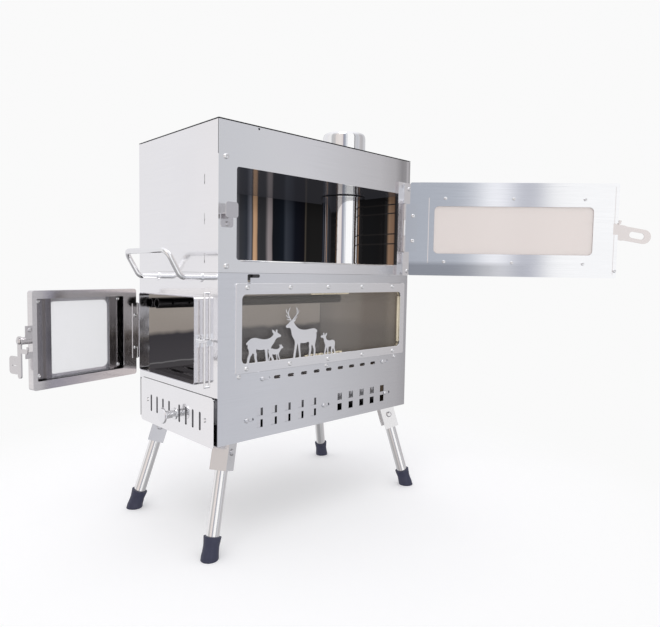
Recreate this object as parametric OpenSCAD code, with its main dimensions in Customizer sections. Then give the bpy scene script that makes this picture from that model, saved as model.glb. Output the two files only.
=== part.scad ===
// Folding camp oven: a sheet steel tent stove with an oven above the firebox.
// Origin on the ground under the middle of the body, +Z up, front towards -Y.
// The fuel door, the ash drawer and one carrying handle are on the left end, towards -X.

/* [Body] */
// Length of the body along its front
body_l = 410; // [400:1:450]
// Depth of the body from front to rear
body_w = 233; // [225:1:250]
// Clear height under the body
leg_h = 155; // [145:1:190]
// Height of the firebox half
fire_h = 240.3; // [239:0.1:260]
// Height of the oven half
oven_h = 206.7; // [204:0.1:240]
// Thickness of the sheet metal
sheet = 1.2; // [1:0.1:1.3]

/* [Oven] */
// Height of the oven opening
oven_open_h = 127.6; // [110:0.1:130]
// Height of the oven opening above the seam
oven_sill = 18; // [16:1:24]
// Distance of the oven opening from the left end
oven_margin = 29.7; // [29:0.1:34]
// Distance of the oven opening from the right end
oven_margin_right = 35.3; // [35:0.1:40]
// Width of the oven door's rim beside the glass
oven_door_rim = 44; // [40:1:60]
// Height of the clear glass in the oven door
oven_glass_h = 84; // [70:1:86]
// How far the oven door stands open, from closed
oven_door_open = 133.3; // [0:0.1:150]

/* [Fuel door] */
// Width of the fuel opening
fuel_w = 166.7; // [160:0.1:167]
// Height of the fuel opening
fuel_h = 121.8; // [110:0.1:122]
// How far the fuel collar stands out of the left end
collar_d = 15.5; // [14:0.1:18]
// Depth of the fuel door pan
fuel_pan_d = 11.2; // [10:0.1:13]
// Width of the fuel door's rim beside the glass
fuel_door_rim = 30; // [28:1:40]
// How far the fuel door stands open, from closed
fuel_door_open = 75.15; // [0:0.05:100]

/* [Window] */
// Height of the firebox window
window_h = 98; // [92:1:100]
// Distance of the window from the left end
window_margin = 39; // [37:1:41]
// Distance of the window from the right end
window_margin_right = 21; // [20:1:30]
// Height of the window above the body's bottom
window_sill = 112; // [110:1:114]

/* [Vents] */
// Width and height of a square vent
vent_square = 11.5; // [9:0.1:12]
// Length of a long vent slot
vent_slot_l = 12.5; // [11:0.1:13]
// Height of a long vent slot
vent_slot_h = 5; // [4:0.1:6]

/* [Ash drawer] */
// Distance of the drawer front's edge from the side of the body
drawer_inset = 7; // [6:0.5:10]
// Height of the drawer front
drawer_h = 71.5; // [70:0.5:73]
// Distance of the tray's end from the right end of the body
tray_margin = 60; // [40:1:120]
// Height of the tray sides
tray_h = 50; // [46:1:54]

/* [Flue] */
// Outside diameter of the flue collar
flue_d = 80; // [70:1:84]
// Height of the flue collar above the top plate
flue_h = 55; // [50:1:75]
// Distance of the flue from the right end
flue_margin = 54; // [52:1:58]

/* [Legs] */
// Diameter of a leg tube
leg_d = 19; // [18:0.5:19.5]
// Lean of a leg from upright
leg_lean = 17; // [14:0.5:18]
// Direction in which the legs lean out, from the long side
leg_yaw = 30; // [26:1:34]
// Distance of a leg pivot from the end of the body
leg_inset_x = 25; // [24:1:32]
// Distance of a leg pivot from the side of the body
leg_inset_y = 21.5; // [20:0.5:26]

/* [Handles] */
// Diameter of the handle rod
handle_d = 8; // [7:0.5:9]
// Distance between the arms of a handle
handle_w = 126; // [110:1:140]
// Length of a handle's sloping part
handle_rise = 42; // [36:1:46]

/* [Fits] */
// Gap between sheets that slide on each other
slide_gap = 0.3; // [0.3:0.05:0.5]
// Radial clearance of a pin in its bore
pin_clear = 0.08; // [0.05:0.01:0.1]
// Radius of a door hinge pin
pin_r = 1.3; // [1.1:0.05:1.4]
// Radius of a leg pivot pin
leg_pin_r = 3; // [2.5:0.1:3.2]

/* [Hidden] */
$fn = 48;

steel = [0.78, 0.79, 0.82];
dark_steel = [0.45, 0.45, 0.48];
clear = [0.75, 0.78, 0.8, 0.6];
rope = [0.93, 0.88, 0.76];
navy = [0.18, 0.18, 0.28];

// Planes of the body
left = -body_l / 2;
right = body_l / 2;
front = -body_w / 2;
rear = body_w / 2;
base = leg_h;
seam = base + fire_h;
top = seam + oven_h;
left_in = left + sheet;
right_in = right - sheet;
front_in = front + sheet;
rear_in = rear - sheet;
oven_base = seam + slide_gap;
oven_roof = top - sheet;
roof_gap = 0.6;
wall_top = oven_roof - roof_gap;

// Firebox window
window_x = [left + window_margin, right - window_margin_right];
window_w = window_x[1] - window_x[0];
window_z = [base + window_sill, base + window_sill + window_h];
window_r = 7;
frame_t = 2;
frame_side = 11;
frame_x = [window_x[0] - frame_side, window_x[1] + frame_side];
frame_z = [window_z[0] - 14, window_z[1] + 16];
gasket_t = 4;
gasket_w = 8;
glass_t = 4;

// Oven opening and liner
oven_x = [left + oven_margin, right - oven_margin_right];
oven_open_w = oven_x[1] - oven_x[0];
oven_z = [seam + oven_sill, seam + oven_sill + oven_open_h];
oven_r = 4;
liner_x = [oven_x[0] - 2.7, right - 5];
liner_rear = rear - 6.5;
sill_d = 14;

// Grate and air tubes
grate_pitch = (body_l - 50) / 12;
grate_slot = (body_w - 57) / 2;
tube_y = [rear - 56.5, rear - 34.5];
tube_r = 8;

// Flue
flue_x = right - flue_margin;
flue_r = flue_d / 2;
flue_rim = 9;

// Firebox window vents and their sliders
vent_pitch = (body_l - 8) / 15;
upper_vent_x = 6.9;
upper_vent_z = base + 86.5;
upper_bolt_x = upper_vent_x - 1.4;
upper_travel = 12.5;
lower_vent_z = [base + 21, base + 38.3];
lower_left_x = -2.95 * vent_pitch;
lower_right_x = 3.21 * vent_pitch;
lower_bolt_x = [-5.83 * vent_pitch, -0.13 * vent_pitch, 5.54 * vent_pitch];
lower_bolt_z = base + 29;
lower_travel = 10.5;
slider_y = front_in + slide_gap;
slider_bolt_r = 2.2;
slider_slot_r = slider_bolt_r + slide_gap;

// Damper
damper_x = [left + 10, left + 110];
damper_pin = [damper_x[0] + 48.4, seam - 4];
damper_back = 6;
damper_travel = 9.6;
damper_top = seam - sheet - slide_gap;

// Fuel opening, door and latch
fuel_y = [3 - fuel_w / 2, 3 + fuel_w / 2];
fuel_z = [base + 83.7, base + 83.7 + fuel_h];
collar_y = [fuel_y[0] - sheet, fuel_y[1] + sheet];
collar_z = [fuel_z[0] - sheet, fuel_z[1] + sheet];
rim_x = left - collar_d;
fuel_pin_x = rim_x - 3.4;
fuel_pin_y = collar_y[1] - 0.2;
knuckle_r = 2.4;
knuckle_bore = pin_r + pin_clear;
leaf_t = 1;
knuckle_gap = 0.3;
fuel_mid = (fuel_z[0] + fuel_z[1]) / 2;
fuel_leaf_z = [fuel_mid - 41.9, fuel_mid + 45];
fuel_knuckle_z = [fuel_mid - 24.2, fuel_mid + 27];
fuel_in = rim_x - 1.5;
fuel_out = fuel_in - fuel_pan_d;
pan_u = [3.2, fuel_w + 9.5];
pan_z = [collar_z[0] - 5.5, collar_z[1] + 5.8];
fuel_glass_u = [fuel_door_rim + 20.4, pan_u[1] - fuel_door_rim];
fuel_glass_z = [fuel_z[0] + 11, fuel_z[1] - 9];
latch_u = pan_u[1] + 13.8;
latch_t = 2;
latch_x = fuel_in - 5.6;
latch_z = fuel_mid + 1.4;
latch_pin_r = 2.5;
striker_x = left - 9;
striker_z = fuel_mid + 0.4;

// Ash drawer
drawer_in = left - slide_gap;
drawer_t = 1.5;
drawer_out = drawer_in - drawer_t;
drawer_w = body_w - 2 * drawer_inset;
drawer_z = [base - 5, base - 5 + drawer_h];
drawer_open_top = drawer_z[1] - 2;
tray_y = rear - 13;
tray_x = [drawer_in, right - tray_margin];
tray_base = base + sheet + slide_gap;
drawer_pitch = (drawer_w - 25) / 10;
drawer_slot_y = [for (s = [-1, 1], i = [0 : 3]) s * (0.8 + i) * drawer_pitch];
drawer_slot_z = [base + 15, base + 42];
drawer_slot_w = 5;
shutter_x = drawer_in + slide_gap;
shutter_z = [base + 9, base + 47.7];
shutter_y = 4.33 * drawer_pitch;
shutter_travel = 8;
knob_z = base + 25;
knob_stem_r = 2;
knob_flange_x = drawer_out - slide_gap - 1;
knob_end = drawer_out - 21;
knob_disc_t = 2.5;
spring_r = 5.4;
spring_wire = 0.8;
spring_pitch = 2.3;

// Oven door, hinge and latch
strip_out = front - 4.1;
oven_pin_x = oven_x[1] + 14.6;
oven_pin_y = strip_out - 1.9;
door_y = oven_pin_y - 1.9 - sheet;
door_u = [9.8, oven_open_w + 28];
door_z = [seam + 0.4, oven_z[1] + 20.5];
door_mid = (door_z[0] + door_z[1]) / 2;
oven_leaf_z = [door_mid - 41, door_mid + 44.4];
oven_knuckle_z = [door_mid - 12.3, door_mid + 15.9];
hem = 6;
oven_glass_u = [oven_door_rim + 8.5, door_u[1] - oven_door_rim];
oven_glass_z = [door_mid - 1.5 - oven_glass_h / 2, door_mid - 1.5 + oven_glass_h / 2];
glass_frame_u = [oven_glass_u[0] - 9, oven_glass_u[1] + 11.3];
glass_frame_z = [oven_glass_z[0] - 18.7, oven_glass_z[1] + 18];
glass_frame_d = 5.1;
oven_latch_u = door_u[1] - 11.7;
oven_latch_z = door_mid + 1.5;
oven_latch_tilt = -10;
lever_t = 1.5;
lever_y = door_y - 4.8 - lever_t;
lever_pin_r = 2.9;
tab_out = front - 13;
tab_x = [left + 3.6, left + 23.4];
tab_z = [oven_latch_z - 5.7, oven_latch_z + 10.3];

// Legs
leg_z = base - 16;
leg_top = 4.5;
leg_tube = 1.2;
bracket_in = 11.5;
bracket_t = 1.5;
web_in = 10.9;
foot_r = 12.4;
foot_h = 30;

// Handles
handle_z = seam - 6.8;
handle_y = -8.5;
handle_arm = 31;
handle_angle = 60;
handle_bend = 12;

module span(a, b) {
  translate([a[0], b[0]]) square([a[1] - a[0], b[1] - b[0]]);
}

module rounded(a, b, r) {
  span([a[0] + r, a[1] - r], b);
  span(a, [b[0] + r, b[1] - r]);
  for (x = [a[0] + r, a[1] - r], z = [b[0] + r, b[1] - r]) translate([x, z]) circle(r);
}

module obround(w, h) {
  square([w - h, h], center = true);
  for (s = [-1, 1]) translate([s * (w - h) / 2, 0]) circle(h / 2);
}

module tall_slot(w, h) {
  rotate([0, 0, 90]) obround(h, w);
}

module plate_x(x, t) {
  translate([x, 0, 0]) rotate([90, 0, 90]) linear_extrude(t) children();
}

module plate_y(y, t) {
  translate([0, y + t, 0]) rotate([90, 0, 0]) linear_extrude(t) children();
}

module plate_z(z, t) {
  translate([0, 0, z]) linear_extrude(t) children();
}

module block(x, y, z) {
  translate([x[0], y[0], z[0]]) cube([x[1] - x[0], y[1] - y[0], z[1] - z[0]]);
}

module rod_x(y, z, x, r) {
  translate([x[0], y, z]) rotate([0, 90, 0]) cylinder(r = r, h = x[1] - x[0]);
}

module rod_y(x, z, y, r) {
  translate([x, y[1], z]) rotate([90, 0, 0]) cylinder(r = r, h = y[1] - y[0]);
}

module rod_z(x, y, z, r) {
  translate([x, y, z[0]]) cylinder(r = r, h = z[1] - z[0]);
}

// A low domed screw head standing on its base, axis along +Z
module head(r, h) {
  cylinder(r = r, h = h * 0.45);
  translate([0, 0, h * 0.45]) cylinder(r1 = r, r2 = r * 0.62, h = h * 0.55);
}

module front_head(x, z, y, r, h) {
  translate([x, y, z]) rotate([90, 0, 0]) head(r, h);
}

// Closed oven door, u from the hinge pin towards the free edge
module door_plate(y, t) {
  translate([oven_pin_x, y + t, 0]) rotate([90, 0, 0]) mirror([1, 0, 0])
    linear_extrude(t) children();
}

module on_oven_door() {
  translate([oven_pin_x, oven_pin_y, 0]) rotate([0, 0, oven_door_open])
    translate([-oven_pin_x, -oven_pin_y, 0]) children();
}

// Closed fuel door, u from the hinge pin towards the free edge
module pan_plate(x, t) {
  translate([x, fuel_pin_y, 0]) rotate([90, 0, 90]) mirror([1, 0, 0])
    linear_extrude(t) children();
}

module on_fuel_door() {
  translate([fuel_pin_x, fuel_pin_y, 0]) rotate([0, 0, -fuel_door_open])
    translate([-fuel_pin_x, -fuel_pin_y, 0]) children();
}

module window_hole(m) {
  rounded([window_x[0] - m, window_x[1] + m], [window_z[0] - m, window_z[1] + m], window_r + m);
}

module upper_vents(shift) {
  for (i = [-4 : 4]) translate([upper_vent_x + shift + i * vent_pitch, upper_vent_z])
    obround(vent_slot_l, vent_slot_h);
}

module lower_vents(shift_left, shift_right) {
  for (i = [-2 : 2], z = lower_vent_z) {
    translate([lower_left_x + shift_left + i * (vent_pitch - 0.1), z])
      square(vent_square, center = true);
    translate([lower_right_x + shift_right + i * (vent_pitch - 0.1), z])
      square(vent_square, center = true);
  }
}

module guide_slot(x, z, travel, r) {
  translate([x + travel / 2, z]) obround(travel + 2 * r, 2 * r);
}

module damper_slot() {
  x0 = damper_pin[0] - damper_back;
  guide_slot(x0, damper_pin[1], damper_back + damper_travel, slider_slot_r);
  translate([x0 - 1, damper_pin[1] - 3.5]) tall_slot(2 * slider_slot_r, 12);
}

module front_panel() {
  color(steel) plate_y(front, sheet) difference() {
    span([left, right], [base, seam]);
    window_hole(0);
    upper_vents(0);
    lower_vents(0, 0);
    for (s = [-5, 5])
      guide_slot(upper_bolt_x + s * vent_pitch, upper_vent_z, upper_travel, slider_slot_r);
    for (x = lower_bolt_x) guide_slot(x, lower_bolt_z, lower_travel, slider_slot_r);
    damper_slot();
  }
}

module rear_panel() {
  color(steel) plate_y(rear_in, sheet) span([left, right], [base, seam]);
}

module left_end_panel() {
  color(steel) plate_x(left, sheet) difference() {
    span([front_in, rear_in], [drawer_open_top, seam]);
    rounded(fuel_y, fuel_z, 4);
  }
}

module right_end_panel() {
  color(steel) plate_x(right_in, sheet) span([front_in, rear_in], [base, seam]);
}

module bottom_pan() {
  color(steel) plate_z(base, sheet) span([left, right_in], [front_in, rear_in]);
}

module smoke_slots(shift) {
  for (i = [0 : 3]) translate([left + 25 + i * 24 + shift, 0]) tall_slot(11, body_w - 83);
}

module middle_deck() {
  color(steel) plate_z(seam - sheet, sheet) difference() {
    span([left_in, right_in], [front_in, rear_in]);
    translate([flue_x, 0]) circle(flue_r - sheet);
    smoke_slots(0);
  }
}

module oven_front() {
  color(steel) plate_y(front, sheet) difference() {
    span([left, right], [oven_base, wall_top]);
    rounded(oven_x, oven_z, oven_r);
    translate([left + 67, top - 4.3]) circle(1.6);
  }
  color(steel) block([oven_x[0] + oven_r, oven_x[1] - oven_r], [front_in, front + sill_d],
                     [oven_z[0] - sheet, oven_z[0]]);
}

module oven_wrap() {
  color(steel) {
    plate_x(left, sheet) difference() {
      span([front_in, rear_in], [oven_base, wall_top]);
      for (z = [[20, 14], [74.2, 15], [128.7, 14]])
        translate([front + 34.5, seam + z[0]]) tall_slot(1.6, z[1]);
    }
    plate_x(right_in, sheet) span([front_in, rear_in], [oven_base, wall_top]);
    plate_y(rear_in, sheet) span([left, right], [oven_base, wall_top]);
  }
}

module top_plate() {
  color(steel) plate_z(oven_roof, sheet) difference() {
    span([left, right], [front, rear]);
    translate([flue_x, 0]) circle(flue_r - sheet);
  }
}

module oven_liner() {
  color(dark_steel) {
    for (p = [[oven_z[0] - sheet, front + sill_d], [oven_z[1], front_in]])
      plate_z(p[0], sheet) difference() {
        span([liner_x[0] - sheet, liner_x[1] + sheet], [p[1], liner_rear + sheet]);
        translate([flue_x, 0]) circle(flue_r + slide_gap);
      }
    for (x = [liner_x[0] - sheet, liner_x[1]])
      plate_x(x, sheet) span([front_in, liner_rear + sheet], oven_z);
    plate_y(liner_rear, sheet) span(liner_x, oven_z);
  }
}

module flue_pipe() {
  color(steel) translate([flue_x, 0, 0]) difference() {
    union() {
      rod_z(0, 0, [seam, oven_roof], flue_r);
      for (z = [oven_z[0], oven_z[1] - 3]) rod_z(0, 0, [z, z + 3], flue_r + 1.5);
    }
    rod_z(0, 0, [seam - 1, oven_roof + 1], flue_r - sheet);
  }
}

// The flue collar's wall runs straight up and curls in at the rim
module flue_collar() {
  steps = [0 : 10 : 80];
  outer = [for (a = steps) [flue_r - 3.5 * (1 - cos(a)), flue_h - flue_rim * (1 - sin(a))]];
  inner = [for (a = steps) [flue_r - sheet - 3.1 * (1 - cos(a)),
                            flue_h - 0.9 - (flue_rim - 0.9) * (1 - sin(a))]];
  wall = concat([[flue_r - sheet, 0], [flue_r, 0]], outer,
                [for (i = [len(inner) - 1 : -1 : 0]) inner[i]]);
  color(steel) translate([flue_x, 0, top]) {
    rotate_extrude() polygon(wall);
    difference() {
      cylinder(r1 = flue_r + 2.2, r2 = flue_r + 0.2, h = 2);
      translate([0, 0, -1]) cylinder(r = flue_r - 0.6, h = 4);
    }
  }
}

// A doe with its head down, feet on the line z = 0
module doe() {
  polygon([[0, 28], [3, 35], [8, 38.5], [18, 39.5], [28, 37.5], [37, 38], [44, 34], [50, 25],
           [53, 17], [56, 20.5], [57, 15], [60, 11], [64.5, 4.5], [63, 1.5], [59, 3], [54, 6.5],
           [51, 10], [46, 13], [43, 18], [41.5, 16], [41.5, -5], [38.5, -5], [38, 17],
           [36.5, 17.5], [35, -5], [32, -5], [32.5, 20], [22, 21], [16, 20], [15.5, 12],
           [14, 8], [14, -5], [11, -5], [11.5, 9], [10, 13], [8, 8], [8.5, -5], [5.5, -5],
           [5.5, 10], [4.5, 18], [2.5, 24], [2, 31]]);
}

// A fawn lying down
module small_fawn() {
  polygon([[0, -4], [0, 4], [3, 9], [9, 11.5], [15, 11.5], [18, 14], [19, 18.5], [17.5, 22.5],
           [21, 21], [23, 20], [27, 17.5], [26.5, 15.5], [23, 15], [22.5, 9], [22, 4],
           [27.5, 1], [27.5, -4]]);
}

// A stag looking to the left, antlers up
module stag() {
  polygon([[0, 40], [1, 37.5], [6, 37], [10, 38], [12, 33], [14, 27], [19, 23], [21.5, 18],
           [21, -5], [24.5, -5], [25.5, 19], [27, 21], [28, -5], [31.5, -5], [31.5, 22],
           [42, 24], [52, 22.5], [56, 18], [55, 10], [58, -5], [61.5, -5], [59, 10],
           [61, 14], [64, 9], [64.5, -5], [68, -5], [67, 10], [68, 18], [69.5, 25],
           [70, 32], [72.5, 29], [71.5, 36], [68, 40.5], [60, 42], [46, 41], [34, 43],
           [27, 45], [23, 50], [20, 53], [24, 55.5], [19.5, 56], [23, 60], [30, 63],
           [33, 68], [31.5, 74], [30.5, 68.5], [26, 65], [25, 70], [23.5, 77], [23, 70],
           [23, 64], [19, 59], [17, 62], [17.5, 68], [14.5, 73.5], [15, 67], [13.5, 63],
           [9.5, 66], [6.5, 71], [7.5, 64.5], [11.5, 60.5], [14.5, 58.5], [15.5, 54],
           [12.5, 51.5], [8, 47], [3, 43.5]]);
}

// A standing fawn looking to the left
module fawn() {
  polygon([[0, 24], [1, 21.5], [6, 21.5], [8.5, 19], [10, 14.5], [11, 10], [10, -6],
           [12.2, -6], [13.2, 9], [14.2, 9], [14.6, -6], [16.8, -6], [16.8, 10.5],
           [26, 10.5], [28, 7], [27.5, -6], [29.7, -6], [30.2, 5], [31.5, 7.5], [32.2, -6],
           [34.4, -6], [33.8, 8], [34, 14], [35.5, 16.5], [33, 19], [28, 20.5], [19, 19.5],
           [14, 21.5], [11.5, 25.5], [10.5, 28], [14, 31.5], [9.5, 29.5], [7.5, 33],
           [6.5, 29], [3, 26.5]]);
}

module window_frame() {
  color(steel) {
    plate_y(front - frame_t, frame_t) difference() {
      rounded(frame_x, frame_z, 3);
      window_hole(0);
    }
    plate_y(front - frame_t, sheet) {
      translate([left + 47.3, window_z[0] + 3.6]) doe();
      translate([left + 86.2, window_z[0] + 1.4]) small_fawn();
      translate([left + 115.4, window_z[0] + 3.2]) stag();
      translate([left + 192.9, window_z[0] + 5.9]) fawn();
    }
  }
}

module window_glass() {
  m = gasket_w;
  color(clear) plate_y(front_in + gasket_t, glass_t)
    span([window_x[0] - m, window_x[1] + m], [window_z[0] - m, window_z[1] + m]);
}

module window_gasket() {
  color(rope) plate_y(front_in, gasket_t) difference() {
    window_hole(gasket_w);
    window_hole(1);
  }
}

module front_screws() {
  frame_y = front - frame_t;
  top_z = window_z[1] + 10;
  low_z = window_z[0] - 7.5;
  color(steel) {
    for (i = [0 : 4]) {
      front_head(window_x[0] + 8.7 + i * (window_w - 32.5) / 4, top_z, frame_y, 3.4, 2);
      front_head(window_x[0] + 7.6 + i * (window_w - 27) / 4, low_z, frame_y, 3.4, 2);
    }
    for (x = [window_x[0] - 4, (window_x[0] + window_x[1]) / 2 - 8, window_x[1] - 13])
      front_head(x, frame_z[0] - 4.1, front, 3.4, 2);
    front_head(left + 12, door_z[1] - 9.4, front, 4, 2.4);
    front_head(left + 13, seam + 9.3, front, 4, 2.4);
    front_head(right - 7.4, seam + 7.7, strip_out, 4, 2.4);
    front_head(right - 6.6, door_z[1] - 10.8, strip_out, 4, 2.4);
  }
}

module fuel_collar() {
  color(steel) plate_x(rim_x, collar_d) difference() {
    rounded(collar_y, collar_z, 5);
    rounded(fuel_y, fuel_z, 4);
  }
}

module fuel_striker() {
  y = collar_y[0];
  rod = 1.5;
  rod_at = [left - 4, y - 7.4];
  rod_z = [collar_z[0] - 3, collar_z[1] + 5];
  color(steel) {
    block([left - 14, left], [y - 1.5, y], [striker_z - 9, striker_z + 9]);
    rod_y(striker_x, striker_z, [y - 26, y - 1.5], 2.5);
    rod_y(striker_x, striker_z, [y - 28, y - 26], 4);
    rod_z(rod_at[0], rod_at[1], rod_z, rod);
    for (z = rod_z) {
      rod_x(rod_at[1], z, [rod_at[0], left], rod);
      translate([rod_at[0], rod_at[1], z]) sphere(rod);
    }
  }
}

module knuckle(x, y, z) {
  difference() {
    rod_z(x, y, z, knuckle_r);
    rod_z(x, y, [z[0] - 1, z[1] + 1], knuckle_bore);
  }
}

module fixed_hinge_leaves() {
  g = knuckle_gap;
  oven_low = [oven_leaf_z[0], oven_knuckle_z[0] - g];
  oven_high = [oven_knuckle_z[1] + g, oven_leaf_z[1]];
  fuel_low = [fuel_leaf_z[0], fuel_knuckle_z[0] - g];
  fuel_high = [fuel_knuckle_z[1] + g, fuel_leaf_z[1]];
  clear_u = knuckle_r + 0.5;
  color(steel) {
    difference() {
      union() {
        block([oven_pin_x - 15.8, oven_pin_x - clear_u], [strip_out - leaf_t, strip_out],
              oven_leaf_z);
        for (z = [oven_low, oven_high]) {
          block([oven_pin_x - clear_u - 0.1, oven_pin_x], [strip_out - leaf_t, strip_out], z);
          rod_z(oven_pin_x, oven_pin_y, z, knuckle_r);
        }
      }
      rod_z(oven_pin_x, oven_pin_y, [oven_leaf_z[0] - 1, oven_leaf_z[1] + 1], knuckle_bore);
    }
    difference() {
      union() {
        block([fuel_pin_x + clear_u, left - 1], [collar_y[1], collar_y[1] + leaf_t],
              fuel_leaf_z);
        for (z = [fuel_low, fuel_high]) {
          block([fuel_pin_x, fuel_pin_x + clear_u + 0.1],
                [collar_y[1], collar_y[1] + leaf_t], z);
          rod_z(fuel_pin_x, fuel_pin_y, z, knuckle_r);
        }
      }
      rod_z(fuel_pin_x, fuel_pin_y, [fuel_leaf_z[0] - 1, fuel_leaf_z[1] + 1], knuckle_bore);
    }
  }
}

module hinge_pins() {
  color(dark_steel) {
    rod_z(oven_pin_x, oven_pin_y, [oven_leaf_z[0] - 0.8, oven_leaf_z[1] + 0.8], pin_r);
    rod_z(fuel_pin_x, fuel_pin_y, [fuel_leaf_z[0] - 0.8, fuel_leaf_z[1] + 0.8], pin_r);
  }
}

module grate() {
  color(dark_steel) plate_z(base + 74, 3) difference() {
    span([left + 10, right - 10], [front + 8.5, rear - 8.5]);
    for (i = [-5.5 : 5.5], s = [-1, 1])
      translate([i * grate_pitch, s * grate_slot * 0.59]) tall_slot(10, grate_slot);
  }
}

module inner_rails() {
  color(steel) {
    for (s = [0, 1]) mirror([0, s, 0]) {
      block([left_in + 6, right_in], [front_in, front_in + sheet], [base + 62, base + 74]);
      block([left_in + 6, right_in], [front_in + sheet, front_in + 12],
            [base + 74 - sheet, base + 74]);
      block([left_in, tray_x[1] + 20], [-tray_y - 0.5 - sheet, -tray_y - 0.5],
            [base + sheet, base + 28]);
      block([left_in, tray_x[1] + 20], [-tray_y - 8, -tray_y - 0.5 - sheet],
            [base + sheet, base + 2 * sheet]);
    }
    ledge = [damper_top - 2 * sheet - slide_gap, damper_top - sheet - slide_gap];
    block([left_in, damper_x[1] + 35], [rear_in - 22, rear_in], ledge);
    block([left_in, left_in + 26], [front_in, front_in + 14], ledge);
    block([damper_x[1] - 15, damper_x[1] + 35], [front_in, front_in + 14], ledge);
  }
}

module air_tubes() {
  z = base + 190;
  color(dark_steel) for (y = tube_y) difference() {
    rod_x(y, z, [left_in, right_in], tube_r);
    rod_x(y, z, [left_in - 1, right_in + 1], tube_r - 1);
    for (i = [-6 : 6]) rod_y(i * grate_pitch, z, [y - tube_r - 1, y], 2);
  }
}

// The leg's own frame: pivot at the origin, +X outwards, +Z up along the tube
module at_leg(sx, sy) {
  a = atan2(sy * sin(leg_yaw), sx * cos(leg_yaw));
  translate([sx * (right - leg_inset_x), sy * (rear - leg_inset_y), leg_z])
    rotate([0, 0, a]) rotate([0, -leg_lean, 0]) children();
}

module leg_brackets() {
  color(steel) intersection() {
    block([left, right], [front, rear], [0, base]);
    union() for (sx = [-1, 1], sy = [-1, 1]) at_leg(sx, sy) {
      difference() {
        union() {
          for (s = [0, 1]) mirror([0, s, 0]) block([-13, web_in + bracket_t],
            [bracket_in, bracket_in + bracket_t], [-26, 24]);
          block([web_in, web_in + bracket_t], [-bracket_in, bracket_in], [-26, 24]);
        }
        rotate([0, 45, 0]) block([-60, -24], [-20, 20], [-40, 40]);
        rod_y(0, 0, [-20, 20], leg_pin_r + 0.02);
      }
    }
  }
}

module leg_pins() {
  color(steel) for (sx = [-1, 1], sy = [-1, 1]) at_leg(sx, sy) {
    rod_y(0, 0, [-bracket_in - bracket_t - 1, bracket_in + bracket_t + 1], leg_pin_r);
    for (s = [-1, 1]) rotate([-s * 90, 0, 0])
      translate([0, 0, bracket_in + bracket_t]) head(5, 3);
  }
}

module leg(sx, sy) {
  color(steel) at_leg(sx, sy) difference() {
    rod_z(0, 0, [-leg_z / cos(leg_lean) + 9, leg_top], leg_d / 2);
    rod_z(0, 0, [-leg_z / cos(leg_lean), leg_top + 1], leg_d / 2 - leg_tube);
    rod_y(0, 0, [-20, 20], leg_pin_r + pin_clear);
  }
}

module foot(sx, sy) {
  bottom = -leg_z / cos(leg_lean);
  r = leg_d / 2 + 0.05;
  color(navy) difference() {
    at_leg(sx, sy) difference() {
      translate([0, 0, bottom]) rotate_extrude() polygon([[0, -6], [foot_r, -6], [foot_r, 4],
        [foot_r - 0.8, 10], [foot_r - 1.2, 18], [foot_r - 0.6, 23], [foot_r + 0.2, foot_h],
        [0, foot_h]]);
      rod_z(0, 0, [bottom + 9, 0], r);
    }
    block([-400, 400], [-400, 400], [-30, 0]);
  }
}

module oven_hinge_strip() {
  x = [oven_x[1] - 1.4, right - 1.2];
  z = [seam + 0.6, seam + 165.6];
  color(steel) difference() {
    union() {
      block(x, [strip_out, strip_out + sheet], z);
      for (a = [x[0], x[1] - sheet]) block([a, a + sheet], [strip_out, front], z);
    }
    block([oven_pin_x - 3, oven_pin_x + 3], [strip_out - 1, front - 0.5],
          [oven_leaf_z[0] - 0.6, oven_leaf_z[1] + 0.6]);
  }
}

module oven_catch() {
  color(steel) {
    plate_y(front - sheet, sheet) rounded(tab_x, [tab_z[0] - 17.4, tab_z[0] + sheet], 4);
    block(tab_x, [front - sheet, front], [tab_z[0] - 6, tab_z[0] + sheet]);
    block(tab_x, [tab_out, front - sheet], [tab_z[0], tab_z[0] + sheet]);
    plate_y(tab_out, sheet) {
      rounded(tab_x, [tab_z[0] - 5, tab_z[1]], 4);
    }
    front_head((tab_x[0] + tab_x[1]) / 2, tab_z[0] - 12.7, front - sheet, 3.4, 1.6);
  }
}

// A bend is a hair thicker than the rod, so that the rod's end lies inside it
module rod_bend(r, angle) {
  rotate_extrude(angle = angle) translate([handle_bend, 0]) circle(r + 0.03);
}

module handle_bail() {
  r = handle_d / 2;
  half = handle_w / 2;
  t = handle_bend * tan(handle_angle / 2);
  lap = 0.4;
  for (s = [-1, 1]) translate([0, s * half, 0]) {
    rod_x(0, 0, [0, handle_arm - t + lap], r);
    rod_x(0, 0, [0, 2], r + 3);
    translate([handle_arm - t, 0, handle_bend]) rotate([90, 0, 0]) rotate([0, 0, -90])
      rod_bend(r, handle_angle);
  }
  translate([handle_arm, 0, 0]) rotate([0, -handle_angle, 0]) {
    for (s = [-1, 1]) {
      rod_x(s * half, 0, [t - lap, handle_rise - handle_bend + lap], r);
      translate([handle_rise - handle_bend, s * (half - handle_bend), 0])
        rotate([0, 0, s > 0 ? 0 : -90]) rod_bend(r, 90);
    }
    rod_y(handle_rise, 0, [-half + handle_bend - lap, half - handle_bend + lap], r);
  }
}

module left_handle() {
  color(steel) translate([left, handle_y, handle_z]) mirror([1, 0, 0]) handle_bail();
}

module right_handle() {
  color(steel) translate([right, handle_y, handle_z]) handle_bail();
}

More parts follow.
